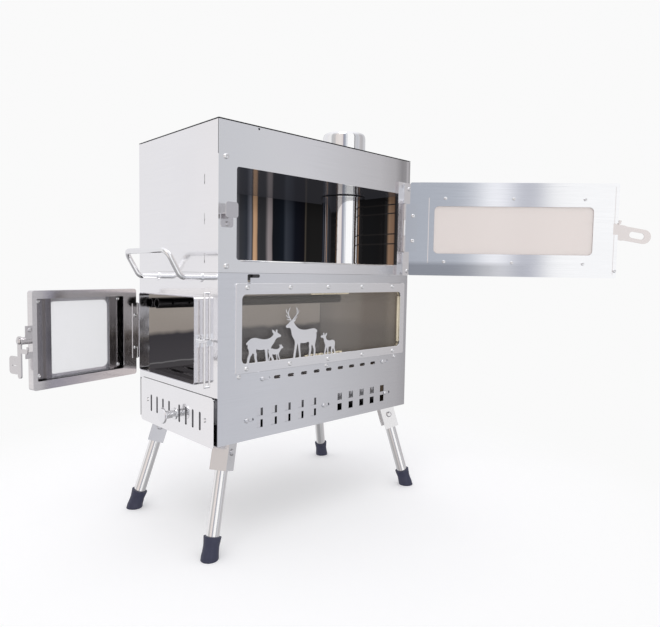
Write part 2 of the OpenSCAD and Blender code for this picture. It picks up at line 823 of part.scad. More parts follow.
module oven_door_panel() {
  notch = [[door_u[1] - 7.7, door_u[1] + 7], [tab_z[0] - 2, tab_z[1] + 2]];
  inner = door_y + sheet;
  color(steel) on_oven_door() {
    door_plate(door_y, sheet) difference() {
      rounded(door_u, door_z, 3);
      rounded(oven_glass_u, oven_glass_z, 8);
      span(notch[0], notch[1]);
    }
    door_plate(inner, sheet) difference() {
      rounded(door_u, door_z, 3);
      span([0, door_u[1] - hem], [door_z[0] + hem, door_z[1] - hem]);
      span([0, 26], [door_z[0] - 1, door_z[1] + 1]);
      span(notch[0], notch[1]);
    }
  }
}

module oven_glass_frame() {
  inner = door_y + sheet;
  u = glass_frame_u;
  z = glass_frame_z;
  color(steel) on_oven_door() {
    door_plate(inner + glass_frame_d - sheet, sheet) difference() {
      rounded(u, z, 3);
      rounded(oven_glass_u, oven_glass_z, 8);
    }
    door_plate(inner, glass_frame_d - sheet) difference() {
      rounded(u, z, 3);
      rounded([u[0] + sheet, u[1] - sheet], [z[0] + sheet, z[1] - sheet], 2);
    }
  }
}

module oven_door_glass() {
  color(clear) on_oven_door() door_plate(door_y + sheet + 0.4, 3)
    span([oven_glass_u[0] - 7, oven_glass_u[1] + 7], [oven_glass_z[0] - 8, oven_glass_z[1] + 8]);
}

module oven_door_screws() {
  face = door_y + sheet + glass_frame_d;
  color(steel) on_oven_door() {
    for (u = [glass_frame_u[0] + 28.1, (glass_frame_u[0] + glass_frame_u[1]) / 2 - 0.9,
              glass_frame_u[1] - 27], z = [glass_frame_z[0] + 3.9, glass_frame_z[1] - 4.4])
      translate([oven_pin_x - u, face, z]) rotate([-90, 0, 0]) head(2.9, 1.6);
    translate([oven_pin_x - door_u[1] + 3.2, door_y + 2 * sheet, door_z[0] + 12.9])
      rotate([-90, 0, 0]) head(2.9, 1.6);
    for (z = [oven_leaf_z[0] + 19.6, oven_leaf_z[1] - 21.3])
      translate([oven_pin_x - 15.4, door_y + sheet + leaf_t, z]) rotate([-90, 0, 0])
        head(3.4, 1.3);
  }
}

module oven_door_leaf() {
  y = door_y + sheet;
  color(steel) on_oven_door() difference() {
    union() {
      door_plate(y, leaf_t) span([knuckle_r + 0.5, 23], oven_leaf_z);
      door_plate(y, leaf_t) span([0, knuckle_r + 0.6], oven_knuckle_z);
      rod_z(oven_pin_x, oven_pin_y, oven_knuckle_z, knuckle_r);
    }
    rod_z(oven_pin_x, oven_pin_y, [oven_knuckle_z[0] - 1, oven_knuckle_z[1] + 1],
          knuckle_bore);
  }
}

module oven_latch_bolt() {
  x = oven_pin_x - oven_latch_u;
  color(steel) on_oven_door() {
    rod_y(x, oven_latch_z, [lever_y + lever_t + slide_gap, door_y], 4.1);
    rod_y(x, oven_latch_z, [lever_y - slide_gap - 0.5, lever_y + lever_t + slide_gap],
          lever_pin_r);
    translate([x, lever_y - slide_gap, oven_latch_z]) rotate([90, 0, 0]) head(5.5, 2.6);
  }
}

// The lever in its own frame: pivot at the origin, +X towards the grip, flat in the plane
module lever_outline() {
  translate([3.5, 0]) intersection() {
    circle(13.5);
    translate([-20, -20]) square([20, 40]);
  }
  span([3.4, 24], [-13.5, 13.5]);
  polygon([[23.9, -13.5], [23.9, 13.5], [28, 12.5], [28, -12.5]]);
  span([27.9, 60], [-12.5, 12.5]);
  translate([60, 0]) circle(12.5);
}

module oven_latch_lever() {
  inward = lever_y + lever_t + 3.5;
  color(steel) on_oven_door() translate([oven_pin_x - oven_latch_u, 0, oven_latch_z])
    mirror([1, 0, 0]) rotate([0, -oven_latch_tilt, 0]) difference() {
      union() {
        plate_y(lever_y, lever_t) difference() {
          lever_outline();
          translate([48, 0]) obround(26, 11);
        }
        plate_y(lever_y, lever_t) span([11, 15], [13.4, 20.2]);
        plate_y(lever_y, inward + sheet - lever_y) span([11, 15], [19, 20.2]);
        plate_y(inward, sheet) span([11, 15], [14.2, 20.2]);
      }
      rod_y(0, 0, [lever_y - 1, lever_y + lever_t + 1], lever_pin_r + pin_clear);
    }
}

module fuel_door_pan() {
  u = pan_u;
  z = pan_z;
  color(steel) on_fuel_door() {
    pan_plate(fuel_out, sheet) difference() {
      rounded(u, z, 4);
      rounded(fuel_glass_u, fuel_glass_z, 8);
    }
    pan_plate(fuel_out + sheet, fuel_pan_d - 2 * sheet) difference() {
      rounded(u, z, 4);
      rounded([u[0] + sheet, u[1] - sheet], [z[0] + sheet, z[1] - sheet], 3);
    }
    pan_plate(fuel_in - sheet, sheet) difference() {
      rounded(u, z, 4);
      rounded([u[0] + 24, u[1] - 6.5], [z[0] + 12, z[1] - 11], 2);
    }
  }
}

module fuel_door_glass() {
  color(clear) on_fuel_door() pan_plate(fuel_out + sheet, glass_t)
    span([fuel_glass_u[0] - 6.5, fuel_glass_u[1] + 6.5],
         [fuel_glass_z[0] - 6, fuel_glass_z[1] + 6]);
}

module fuel_glass_holders() {
  x = fuel_out + sheet;
  z = [fuel_glass_z[0] - 5, fuel_glass_z[1] + 5];
  a = fuel_glass_u[1];
  b = fuel_glass_u[0];
  color(steel) on_fuel_door() {
    pan_plate(x, sheet) {
      span([a + 7, a + 22], z);
      span([b - 22, b - 7], z);
    }
    pan_plate(x, glass_t + sheet) {
      span([a + 7, a + 7 + sheet], z);
      span([b - 7 - sheet, b - 7], z);
    }
    pan_plate(x + glass_t, sheet) {
      span([a, a + 7 + sheet], z);
      span([b - 7 - sheet, b], z);
    }
  }
}

module fuel_door_screws() {
  base_x = fuel_out + 2 * sheet;
  color(steel) on_fuel_door() {
    for (u = [fuel_glass_u[0] - 18, fuel_glass_u[1] + 16.6],
         z = [fuel_glass_z[0] + 0.4, fuel_glass_z[1] + 1])
      translate([base_x, fuel_pin_y - u, z]) rotate([0, 90, 0]) head(3, 1.8);
    for (z = [fuel_knuckle_z[0] - 1, fuel_knuckle_z[1] - 1.1])
      translate([fuel_in + leaf_t, fuel_pin_y - 6.6, z]) rotate([0, 90, 0]) head(2.8, 1.4);
  }
}

module fuel_door_leaf() {
  color(steel) on_fuel_door() difference() {
    union() {
      pan_plate(fuel_in, leaf_t) span([knuckle_r + 0.5, 11], fuel_leaf_z);
      pan_plate(fuel_in, leaf_t) span([0, knuckle_r + 0.6], fuel_knuckle_z);
      rod_z(fuel_pin_x, fuel_pin_y, fuel_knuckle_z, knuckle_r);
    }
    rod_z(fuel_pin_x, fuel_pin_y, [fuel_knuckle_z[0] - 1, fuel_knuckle_z[1] + 1],
          knuckle_bore);
  }
}

module fuel_latch_ears() {
  y = fuel_pin_y - pan_u[1];
  lever_near = fuel_pin_y - latch_u;
  color(steel) on_fuel_door() {
    rod_y(latch_x, latch_z, [lever_near + slide_gap, y], 5);
    rod_y(latch_x, latch_z, [lever_near - latch_t - slide_gap - 0.5, lever_near + slide_gap],
          latch_pin_r);
    translate([latch_x, lever_near - latch_t - slide_gap, latch_z]) rotate([90, 0, 0])
      head(4.4, 2);
    pan_plate(fuel_in - sheet, sheet) {
      span([pan_u[1], pan_u[1] + 10], [latch_z + 2, latch_z + 20]);
      span([pan_u[1], pan_u[1] + 10], [latch_z - 24, latch_z - 15]);
    }
    translate([fuel_in, fuel_pin_y - pan_u[1] - 4.3, latch_z + 14.5]) rotate([0, 90, 0])
      head(3, 1.8);
  }
}

module fuel_latch_lever() {
  y = fuel_pin_y - latch_u - latch_t;
  p = [latch_x, latch_z];
  color(steel) on_fuel_door() difference() {
    plate_y(y, latch_t) {
      translate(p) circle(6.5);
      span([p[0] - 4, p[0] + 4], [p[1] - 46, p[1]]);
      translate([p[0], p[1] - 46]) circle(4);
      span([p[0] + 3.9, left - 5.7], [p[1] - 16, p[1] - 10]);
      translate([left - 5.8, p[1] - 16])
        polygon([[0, 0], [0.6, 0], [3, 6], [3, 9], [2.5, 9.5], [0.5, 9.5], [0, 9]]);
      difference() {
        rounded([p[0] - 23.5, p[0] - 2], [p[1] - 45, p[1] - 21], 5);
        span([p[0] - 17, p[0] - 7], [p[1] - 34, p[1] - 32.8]);
      }
    }
    rod_y(p[0], p[1], [y - 1, y + latch_t + 1], latch_pin_r + pin_clear);
  }
}

module drawer_front() {
  lip_x = shutter_x + 1 + slide_gap;
  y = [-shutter_y - 2, shutter_y + shutter_travel + 4];
  color(steel) {
    plate_x(drawer_out, drawer_t) difference() {
      rounded([-drawer_w / 2, drawer_w / 2], drawer_z, 6);
      for (s = drawer_slot_y) translate([s, (drawer_slot_z[0] + drawer_slot_z[1]) / 2])
        tall_slot(drawer_slot_w, drawer_slot_z[1] - drawer_slot_z[0]);
      guide_slot(0, knob_z, shutter_travel, knob_stem_r + slide_gap);
    }
    for (z = [[shutter_z[0] - 0.3 - 2.5, shutter_z[0] - 0.3],
              [shutter_z[1] + 0.3, shutter_z[1] + 2.8]])
      block([drawer_in, lip_x + 1], y, z);
    block([lip_x, lip_x + 1], y, [shutter_z[0] - 2.8, shutter_z[0] + 2.2]);
    block([lip_x, lip_x + 1], y, [shutter_z[1] - 2.2, shutter_z[1] + 2.8]);
    for (s = [-1, 1]) translate([drawer_out, s * 4.46 * drawer_pitch, base + 32]) rotate([0, -90, 0])
      head(3.2, 1.5);
  }
}

module drawer_tray() {
  x = tray_x;
  z = [tray_base, tray_base + tray_h];
  color(steel) {
    block(x, [-tray_y, tray_y], [z[0], z[0] + sheet]);
    for (s = [0, 1]) mirror([0, s, 0]) block(x, [-tray_y, -tray_y + sheet], z);
    block([x[1] - sheet, x[1]], [-tray_y, tray_y], z);
  }
}

module drawer_shutter() {
  color(steel) plate_x(shutter_x, 1) difference() {
    span([-shutter_y, shutter_y], shutter_z);
    for (s = drawer_slot_y) translate([s, (drawer_slot_z[0] + drawer_slot_z[1]) / 2])
      tall_slot(drawer_slot_w, drawer_slot_z[1] - drawer_slot_z[0]);
  }
}

module drawer_knob() {
  color(steel) {
    rod_x(0, knob_z, [knob_end, shutter_x], knob_stem_r);
    rod_x(0, knob_z, [knob_flange_x, knob_flange_x + 1], 9);
    translate([knob_end, 0, knob_z]) rotate([0, 90, 0])
      cylinder(r1 = 11, r2 = 12, h = knob_disc_t / 2);
    rod_x(0, knob_z, [knob_end + knob_disc_t / 2, knob_end + knob_disc_t], 12);
  }
}

// Middle line of the knob's coil: straight out of the flange, curls, straight into the disc
spring_x = [knob_flange_x, knob_end + knob_disc_t];
spring_lead = 2 * spring_wire;
spring_run = spring_x[0] - spring_x[1] - 2 * spring_lead;
spring_curls = floor(spring_run / spring_pitch);
spring_step = spring_run / (8 * spring_curls);
spring_path = concat([[spring_x[0], spring_r, 0]],
  [for (i = [0 : 8 * spring_curls])
    [spring_x[0] - spring_lead - i * spring_step, spring_r * cos(45 * i),
     spring_r * sin(45 * i)]],
  [[spring_x[1], spring_r, 0]]);

function unit(v) = v / norm(v);
function path_dir(p, i) = i == 0 ? unit(p[1] - p[0])
  : i == len(p) - 1 ? unit(p[i] - p[i - 1])
  : unit(unit(p[i] - p[i - 1]) + unit(p[i + 1] - p[i]));
function outward(p) = unit([0, p[1], p[2]]);
function ring(p, i, r) = let (d = path_dir(p, i), n = unit(outward(p[i])
  - d * (outward(p[i]) * d)), b = cross(d, n))
  [for (k = [0 : 5]) p[i] + r * (cos(60 * k) * n + sin(60 * k) * b)];

spring_rings = [for (i = [0 : len(spring_path) - 1]) ring(spring_path, i, spring_wire)];
spring_gap = min([for (i = [1 : 8 * spring_curls - 6], j = [i + 7 : min(i + 9, 8 * spring_curls + 1)],
  a = spring_rings[i], b = spring_rings[j]) norm(a - b)]);
echo(spring_gap = spring_gap);

module knob_spring() {
  n = len(spring_path);
  points = [for (q = spring_rings, p = q) p];
  sides = [for (i = [0 : n - 2], k = [0 : 5], h = [0, 1]) let (a = 6 * i + k,
    b = 6 * i + (k + 1) % 6) h == 0 ? [a, a + 6, b] : [b, a + 6, b + 6]];
  ends = concat([for (k = [1 : 4]) [0, k, k + 1]],
    [for (k = [1 : 4]) [6 * n - 6, 6 * n - 6 + k + 1, 6 * n - 6 + k]]);
  color(steel) translate([0, 0, knob_z]) polyhedron(points, concat(sides, ends));
}

module slider_bolt(x, z) {
  rod_y(x, z, [front - slide_gap - 0.5, slider_y], slider_bolt_r);
  front_head(x, z, front - slide_gap, 3.5, 2);
}

module upper_air_slider() {
  x = [upper_vent_x - 5 * vent_pitch - 8, upper_vent_x + 5 * vent_pitch + 17];
  color(steel) {
    plate_y(slider_y, sheet) difference() {
      span(x, [upper_vent_z - 7, upper_vent_z + 7]);
      upper_vents(0);
    }
    for (s = [-5, 5]) slider_bolt(upper_bolt_x + s * vent_pitch, upper_vent_z);
  }
}

module lower_air_slider() {
  color(steel) {
    plate_y(slider_y, sheet) difference() {
      span([lower_bolt_x[0] - 5.8, lower_bolt_x[2] + 21.5], [base + 13, base + 46]);
      lower_vents(8.5, 3);
    }
    for (x = lower_bolt_x) slider_bolt(x, lower_bolt_z);
  }
}

module damper_plate() {
  p = damper_pin;
  color(dark_steel) {
    plate_z(damper_top - sheet, sheet) difference() {
      span(damper_x, [slider_y, rear_in - 12]);
      smoke_slots(6);
    }
    plate_y(slider_y, sheet) span([p[0] - 18, p[0] + 18], [seam - 10, damper_top]);
    rod_y(p[0], p[1], [front - 5, slider_y], slider_bolt_r);
  }
}

front_panel();
rear_panel();
left_end_panel();
right_end_panel();
bottom_pan();
middle_deck();
oven_front();
oven_wrap();
top_plate();
oven_liner();
flue_pipe();
flue_collar();
window_frame();
window_glass();
window_gasket();
front_screws();
fuel_collar();
fuel_striker();
fixed_hinge_leaves();
hinge_pins();
grate();
inner_rails();
air_tubes();
leg_brackets();
leg_pins();
oven_hinge_strip();
oven_catch();
left_handle();
right_handle();
oven_door_panel();
oven_glass_frame();
oven_door_glass();
oven_door_screws();
oven_door_leaf();
oven_latch_bolt();
oven_latch_lever();
fuel_door_pan();
fuel_door_glass();
fuel_glass_holders();
fuel_door_screws();
fuel_door_leaf();
fuel_latch_ears();
fuel_latch_lever();
drawer_front();
drawer_tray();
drawer_shutter();
drawer_knob();
knob_spring();
upper_air_slider();
lower_air_slider();
damper_plate();
leg(-1, -1);  // front_left_leg
leg(1, -1);  // front_right_leg
leg(-1, 1);  // rear_left_leg
leg(1, 1);  // rear_right_leg
foot(-1, -1);  // front_left_foot
foot(1, -1);  // front_right_foot
foot(-1, 1);  // rear_left_foot
foot(1, 1);  // rear_right_foot
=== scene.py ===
import bmesh
import bpy
import math
from mathutils import Matrix, Vector


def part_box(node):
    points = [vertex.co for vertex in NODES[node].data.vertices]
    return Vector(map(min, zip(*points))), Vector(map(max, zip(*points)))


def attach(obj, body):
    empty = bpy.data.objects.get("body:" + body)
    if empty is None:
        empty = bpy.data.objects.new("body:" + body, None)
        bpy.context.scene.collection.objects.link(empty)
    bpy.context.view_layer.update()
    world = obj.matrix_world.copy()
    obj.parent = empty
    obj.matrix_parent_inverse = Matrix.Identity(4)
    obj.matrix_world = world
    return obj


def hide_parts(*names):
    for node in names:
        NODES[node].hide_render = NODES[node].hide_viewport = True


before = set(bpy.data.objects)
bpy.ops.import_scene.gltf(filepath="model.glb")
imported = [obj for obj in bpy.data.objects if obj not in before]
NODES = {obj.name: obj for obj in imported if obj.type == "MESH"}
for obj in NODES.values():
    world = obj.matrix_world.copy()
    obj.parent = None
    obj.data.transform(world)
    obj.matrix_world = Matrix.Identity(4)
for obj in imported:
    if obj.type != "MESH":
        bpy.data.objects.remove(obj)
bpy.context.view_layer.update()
MM = 0.001


def box_mm(node):
    """A node's lowest and highest corners in millimetres."""
    lo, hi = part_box(node)
    return [v / MM for v in lo], [v / MM for v in hi]


# Node helpers
def new_mat(name):
    """A material with one Principled shader: the material, its node tree and the shader."""
    mat = bpy.data.materials.new(name)
    mat.use_nodes = True
    nt = mat.node_tree
    nt.nodes.clear()
    out = nt.nodes.new("ShaderNodeOutputMaterial")
    bsdf = nt.nodes.new("ShaderNodeBsdfPrincipled")
    nt.links.new(bsdf.outputs[0], out.inputs[0])
    return mat, nt, bsdf


def mapped(nt, scale=(1, 1, 1)):
    """The place on the object, in metres, stretched by scale."""
    coords = nt.nodes.new("ShaderNodeTexCoord")
    mapping = nt.nodes.new("ShaderNodeMapping")
    mapping.inputs["Scale"].default_value = scale
    nt.links.new(coords.outputs["Object"], mapping.inputs["Vector"])
    return mapping.outputs[0]


def noise(nt, vec, scale, detail=3, rough=0.5):
    node = nt.nodes.new("ShaderNodeTexNoise")
    node.inputs["Scale"].default_value = scale
    node.inputs["Detail"].default_value = detail
    node.inputs["Roughness"].default_value = rough
    nt.links.new(vec, node.inputs["Vector"])
    return node.outputs["Fac"]


def ramp(nt, fac, stops):
    """A colour ramp of (position, colour or grey level) stops."""
    node = nt.nodes.new("ShaderNodeValToRGB")
    elements = node.color_ramp.elements
    while len(elements) < len(stops):
        elements.new(0.5)
    for element, (position, colour) in zip(elements, stops):
        grey = isinstance(colour, (int, float))
        element.position = position
        element.color = (colour, colour, colour, 1) if grey else (*colour, 1)
    nt.links.new(fac, node.inputs[0])
    return node.outputs[0]


def feed(nt, sock, value):
    """Sets a socket to a number or colour, or links another node's output to it."""
    if isinstance(value, (int, float)):
        sock.default_value = value
    elif isinstance(value, tuple):
        sock.default_value = (*value, 1)
    else:
        nt.links.new(value, sock)


def math_node(nt, op, *values):
    node = nt.nodes.new("ShaderNodeMath")
    node.operation = op
    for sock, value in zip(node.inputs, values):
        feed(nt, sock, value)
    return node.outputs[0]


def plus(nt, a, b):
    return math_node(nt, "ADD", a, b)


def minus(nt, a, b):
    return math_node(nt, "SUBTRACT", a, b)


def times(nt, a, b):
    return math_node(nt, "MULTIPLY", a, b)


def size_of(nt, a):
    return math_node(nt, "ABSOLUTE", a)


def above(nt, value, limit):
    return math_node(nt, "GREATER_THAN", value, limit)


def below(nt, value, limit):
    return math_node(nt, "LESS_THAN", value, limit)


def all_of(nt, *masks):
    out = masks[0]
    for mask in masks[1:]:
        out = times(nt, out, mask)
    return out


def mix(nt, fac, a, b, blend="MIX"):
    node = nt.nodes.new("ShaderNodeMix")
    node.data_type = "RGBA"
    node.blend_type = blend
    for sock, value in ((node.inputs[0], fac), (node.inputs[6], a), (node.inputs[7], b)):
        feed(nt, sock, value)
    return node.outputs[2]


def shaded(nt, tone, shade):
    return mix(nt, 1.0, tone, shade, "MULTIPLY")


def split(nt, vec):
    node = nt.nodes.new("ShaderNodeSeparateXYZ")
    nt.links.new(vec, node.inputs[0])
    return node.outputs


def place(nt):
    """Where a point lies on the object at rest, as x, y and z in metres."""
    return split(nt, mapped(nt))


def facing(nt):
    """Which way a face looks, as x, y and z."""
    geometry = nt.nodes.new("ShaderNodeNewGeometry")
    return split(nt, geometry.outputs["True Normal"])


FLAT_ON = 0.7  # share of its direction from which a face counts as looking along an axis


def looks_back(nt, part):
    """One on the faces that look against an axis, from that part of facing()."""
    return above(nt, times(nt, part, -1), FLAT_ON)


def ramp_mm(nt, value, stops):
    """A ramp along one coordinate in metres, with its stops in millimetres from one end to the other."""
    start, end = stops[0][0], stops[-1][0]
    span = end - start
    fac = times(nt, minus(nt, value, start * MM), 1 / (span * MM))
    return ramp(nt, fac, [((at - start) / span, colour) for at, colour in stops])


def bump(nt, bsdf, height, strength, dist):
    node = nt.nodes.new("ShaderNodeBump")
    node.inputs["Strength"].default_value = strength
    node.inputs["Distance"].default_value = dist
    nt.links.new(height, node.inputs["Height"])
    nt.links.new(node.outputs[0], bsdf.inputs["Normal"])


# What single faces of the sheet look like, most of them with painted shade and reflections. Each takes
# the plain tone and gives the changed one
# Painted shade for the open gap beside the drawer
GAP_SHADE = (0.02, 0.02, 0.025)
DRAWER_TOP = 0.2225  # top of the strip beside the drawer
DRAWER_NEAR = -0.1093  # the drawer front's near edge
SPOTS_TOP = 0.178  # up to here light falls into the strip
SLIT_FOOT = 0.5545  # foot of the slit in the oven front's end
RING_Z, RING_HALF = 0.5405, 0.0012  # the dark ring on the pipe
FIREBOX_Y = 0.1160  # between the two faces of the rear panel's sheet
FIREBOX_X = 0.2045  # between the two faces of the right end's sheet


def end_slit_shade(nt, tone):
    """Painted shade: the oven front's end is dark where it has an open slit near its top."""
    slit = all_of(nt, looks_back(nt, facing(nt)[0]), above(nt, place(nt)[2], SLIT_FOOT))
    return mix(nt, slit, tone, (0.05, 0.05, 0.055))


def oven_front_shade(nt, tone):
    """Painted shade and reflection: the oven front darkens towards the hinge."""
    shade = ramp_mm(nt, place(nt)[0], [
        (-205, 1.06), (-61.5, 1.03), (123, 0.90), (164, 0.76), (182.5, 0.50), (193.5, 0.56),
        (197.6, 0.85), (205, 0.55)])
    return end_slit_shade(nt, shaded(nt, tone, shade))


def lower_front_shade(nt, tone):
    """Painted shade: the front panel darkens to the right, and its end shows grey beside the drawer."""
    p = place(nt)
    shade = ramp_mm(nt, p[0], [(-205, 0.96), (-41, 0.94), (102.5, 0.86), (176.3, 0.80), (205, 0.70)])
    end = all_of(nt, looks_back(nt, facing(nt)[0]), below(nt, p[2], DRAWER_TOP))
    return mix(nt, end, shaded(nt, tone, shade), (0.16, 0.16, 0.18))


def rim_shade(nt, tone):
    """Painted shade: the top plate's rim is dark, and its flat faces keep their tone."""
    flat = above(nt, size_of(nt, facing(nt)[2]), 0.6)
    return mix(nt, flat, (0.045, 0.047, 0.05), tone)


def drawer_gap_shade(nt, tone):
    """The open strip beside the drawer front, painted dark with shade, with painted spots of light low
    down.
    """
    p = place(nt)
    beside = all_of(nt, below(nt, p[1], DRAWER_NEAR), below(nt, p[2], DRAWER_TOP))
    gap = times(nt, beside, looks_back(nt, facing(nt)[0]))
    spots = ramp(nt, noise(nt, mapped(nt), 110, 2), [(0.50, GAP_SHADE), (0.66, (0.35, 0.36, 0.38))])
    return mix(nt, gap, tone, mix(nt, below(nt, p[2], SPOTS_TOP), GAP_SHADE, spots))


def drawer_top_line(nt, tone):
    """The upper edge of the drawer front lies in its gap's shadow."""
    return mix(nt, above(nt, facing(nt)[2], 0.6), tone, (0.03, 0.03, 0.035))


def collar_outside_shade(nt, tone):
    """Painted shade: the collar's outer faces are a little darker and cooler than its inner ones."""
    return mix(nt, looks_back(nt, facing(nt)[0]), tone, (0.70, 0.695, 0.74))


def pipe_ring(nt, tone):
    """A dark ring where the lining's collar sits on the pipe."""
    off = size_of(nt, minus(nt, place(nt)[2], RING_Z))
    return mix(nt, below(nt, off, RING_HALF), tone, (0.01, 0.01, 0.012))


def door_shade(nt, tone):
    """Painted shade and reflection: the foot of the oven door is darker towards its hinge."""
    p = place(nt)
    low = ramp_mm(nt, p[2], [(414, 1.0), (422, 0.0)])
    hinge_side = ramp_mm(nt, p[0], [(290, 1.0), (345, 0.0)])
    foot = times(nt, low, hinge_side)
    return mix(nt, times(nt, foot, 0.42), tone, (0.10, 0.10, 0.12))


# What the insides look like: painted light and reflections that glow, as if lit from the room through
# their openings. Each gives a mask and a colour
def rear_inside_light(nt):
    """The firebox side of the rear panel, with painted light that glows: beige above, dark below, with a
    thin bright line.
    """
    p = place(nt)
    inside = all_of(nt, looks_back(nt, facing(nt)[1]), below(nt, p[1], FIREBOX_Y))
    drift = times(nt, noise(nt, mapped(nt, (4, 1, 1)), 7, 2), 0.01)
    look = ramp_mm(nt, plus(nt, p[2], drift), [
        (205, (0.10, 0.095, 0.10)), (229, (0.075, 0.070, 0.075)), (243.4, (0.066, 0.062, 0.067)),
        (244.8, (0.20, 0.195, 0.20)), (246.6, (0.064, 0.060, 0.066)), (265, (0.060, 0.056, 0.062)),
        (292, (0.050, 0.047, 0.053)), (300, (0.31, 0.275, 0.25)), (329, (0.33, 0.295, 0.265)),
        (365, (0.30, 0.27, 0.245)), (405, (0.26, 0.24, 0.22))])
    return inside, look


def right_inside_light(nt):
    """The firebox side of the right end, with painted light that glows: a brown reflection with darker
    upright bands.
    """
    p = place(nt)
    inside = all_of(nt, looks_back(nt, facing(nt)[0]), below(nt, p[0], FIREBOX_X))
    look = ramp_mm(nt, p[1], [
        (116, (0.055, 0.050, 0.050)), (111.8, (0.16, 0.145, 0.135)), (57.9, (0.20, 0.175, 0.155)),
        (4.4, (0.17, 0.142, 0.118)), (-14.2, (0.115, 0.086, 0.064)), (-65.4, (0.105, 0.080, 0.058)),
        (-79.3, (0.17, 0.135, 0.10)), (-116.6, (0.15, 0.125, 0.105))])
    low = ramp_mm(nt, p[2], [(240, 0.62), (290, 0.70), (308.9, 1.0), (351.1, 1.0)])
    return inside, shaded(nt, look, low)


RIDGES = (0.5266, 0.5103, 0.4720, 0.4537)  # heights of the dark lines on the liner's sides
RIDGE_HALF = 0.0011


def liner_reflections(nt):
    """Blued, polished liner: near black with painted reflections that glow as bright upright streaks,
    which lean and fade a little.
    """
    n, p = facing(nt), place(nt)
    sway = noise(nt, mapped(nt, (1, 1, 0.6)), 14, 2)
    drift = times(nt, minus(nt, sway, 0.5), 0.004)
    dark = (0.0100, 0.0115, 0.0165)
    back = ramp_mm(nt, plus(nt, p[0], drift), [
        (-172, (0.05, 0.05, 0.06)), (-137.8, dark), (-103.5, (0.06, 0.055, 0.05)), (-83, dark),
        (-21.3, (0.045, 0.046, 0.052)), (-17.2, (0.13, 0.13, 0.145)), (-9.3, (0.035, 0.036, 0.042)),
        (6.1, (0.028, 0.032, 0.042)), (16, (0.17, 0.175, 0.21)), (19.8, (0.035, 0.03, 0.03)),
        (21.8, (0.50, 0.31, 0.185)), (29.4, (0.46, 0.28, 0.165)), (32.1, (0.030, 0.030, 0.034)),
        (50.6, (0.038, 0.038, 0.042)), (58.1, (0.30, 0.265, 0.275)), (66, (0.26, 0.225, 0.23)),
        (68.8, (0.008, 0.009, 0.012)), (95.1, (0.009, 0.012, 0.018)), (102, (0.042, 0.048, 0.062)),
        (115, (0.026, 0.030, 0.042)), (125.9, (0.007, 0.008, 0.013)), (151.3, (0.007, 0.007, 0.010)),
        (153.7, (0.08, 0.068, 0.055)), (157.5, (0.012, 0.0115, 0.012)), (170.5, (0.014, 0.0135, 0.0135))])
    side = ramp_mm(nt, p[1], [
        (115, (0.014, 0.013, 0.013)), (-27.5, (0.010, 0.010, 0.011)), (-68.9, (0.009, 0.0085, 0.009)),
        (-74.7, (0.24, 0.15, 0.095)), (-85.5, (0.19, 0.115, 0.075)), (-88.4, (0.020, 0.020, 0.022)),
        (-101.6, (0.035, 0.035, 0.038)), (-103.4, (0.70, 0.69, 0.70)), (-114.9, (0.80, 0.79, 0.80))])
    off_ridge = size_of(nt, minus(nt, p[2], RIDGES[0]))
    for height in RIDGES[1:]:
        off_ridge = math_node(nt, "MINIMUM", off_ridge, size_of(nt, minus(nt, p[2], height)))
    side = mix(nt, above(nt, off_ridge, RIDGE_HALF), (0.02, 0.018, 0.018), side)
    look = mix(nt, above(nt, size_of(nt, n[0]), FLAT_ON), back, side)
    fade = ramp_mm(nt, p[2], [(410, 1.0), (498.6, 0.85), (532.9, 0.60), (542.9, 0.45), (552.9, 0.40)])
    level = above(nt, size_of(nt, n[2]), FLAT_ON)
    return None, mix(nt, level, shaded(nt, look, fade), (0.02, 0.02, 0.024))


# Materials
GRAIN_SCALE, SMUDGE_SCALE, WAVE_SCALE = 700, 9, 3.5
SMUDGE = 0.03  # how much darker a smudge is
# Grains: a small number draws the grain out along that axis
ALONG_X = (0.02, 1, 1)
ALONG_Y = (1, 0.02, 1)
LEVEL = (0.02, 0.02, 1)
UPRIGHT = (1, 1, 0.05)
SHORT = (1, 1, 0.3)


def sheet_steel(name, color, rough, grain=(1, 1, 1), streak=0.02, wave=0.0, tone_of=None,
                inside_of=None, glow=0.0):
    """Rolled stainless sheet: a fine grain along one way, faint smudges, slight waviness.

    tone_of changes the tone of single faces, most of them with painted shade. inside_of gives the faces
    that other sheets would light, which get painted light that glows, and glow says how bright these are.
    """
    mat, nt, b = new_mat(name)
    b.inputs["Metallic"].default_value = 1.0
    fine = noise(nt, mapped(nt, grain), GRAIN_SCALE, 3, 0.6)
    broad = noise(nt, mapped(nt), SMUDGE_SCALE, 3, 0.5)
    dull = tuple(c * (1 - streak) for c in color)
    bright = tuple(min(1, c * (1 + streak)) for c in color)
    tone = mix(nt, ramp(nt, fine, [(0.3, 0.0), (0.7, 1.0)]), dull, bright)
    smudges = times(nt, ramp(nt, broad, [(0.45, 0.0), (0.7, 1.0)]), 0.5)
    tone = mix(nt, smudges, tone, tuple(c * (1 - SMUDGE) for c in color))
    if tone_of:
        tone = tone_of(nt, tone)
    # Faces inside the stove get painted light, which glows through the emission
    if inside_of:
        mask, look = inside_of(nt)
        base = mix(nt, 0.7, look, (0.01, 0.01, 0.01))
        nt.links.new(look, b.inputs["Emission Color"])
        if mask is None:
            tone = base
            b.inputs["Emission Strength"].default_value = glow
        else:
            tone = mix(nt, mask, tone, base)
            nt.links.new(times(nt, mask, glow), b.inputs["Emission Strength"])
    nt.links.new(tone, b.inputs["Base Color"])
    nt.links.new(plus(nt, times(nt, broad, 0.05), rough - 0.025), b.inputs["Roughness"])
    if wave:
        slow = noise(nt, mapped(nt), WAVE_SCALE, 1)
        bump(nt, b, times(nt, slow, wave), 0.6, 0.002)
    return mat


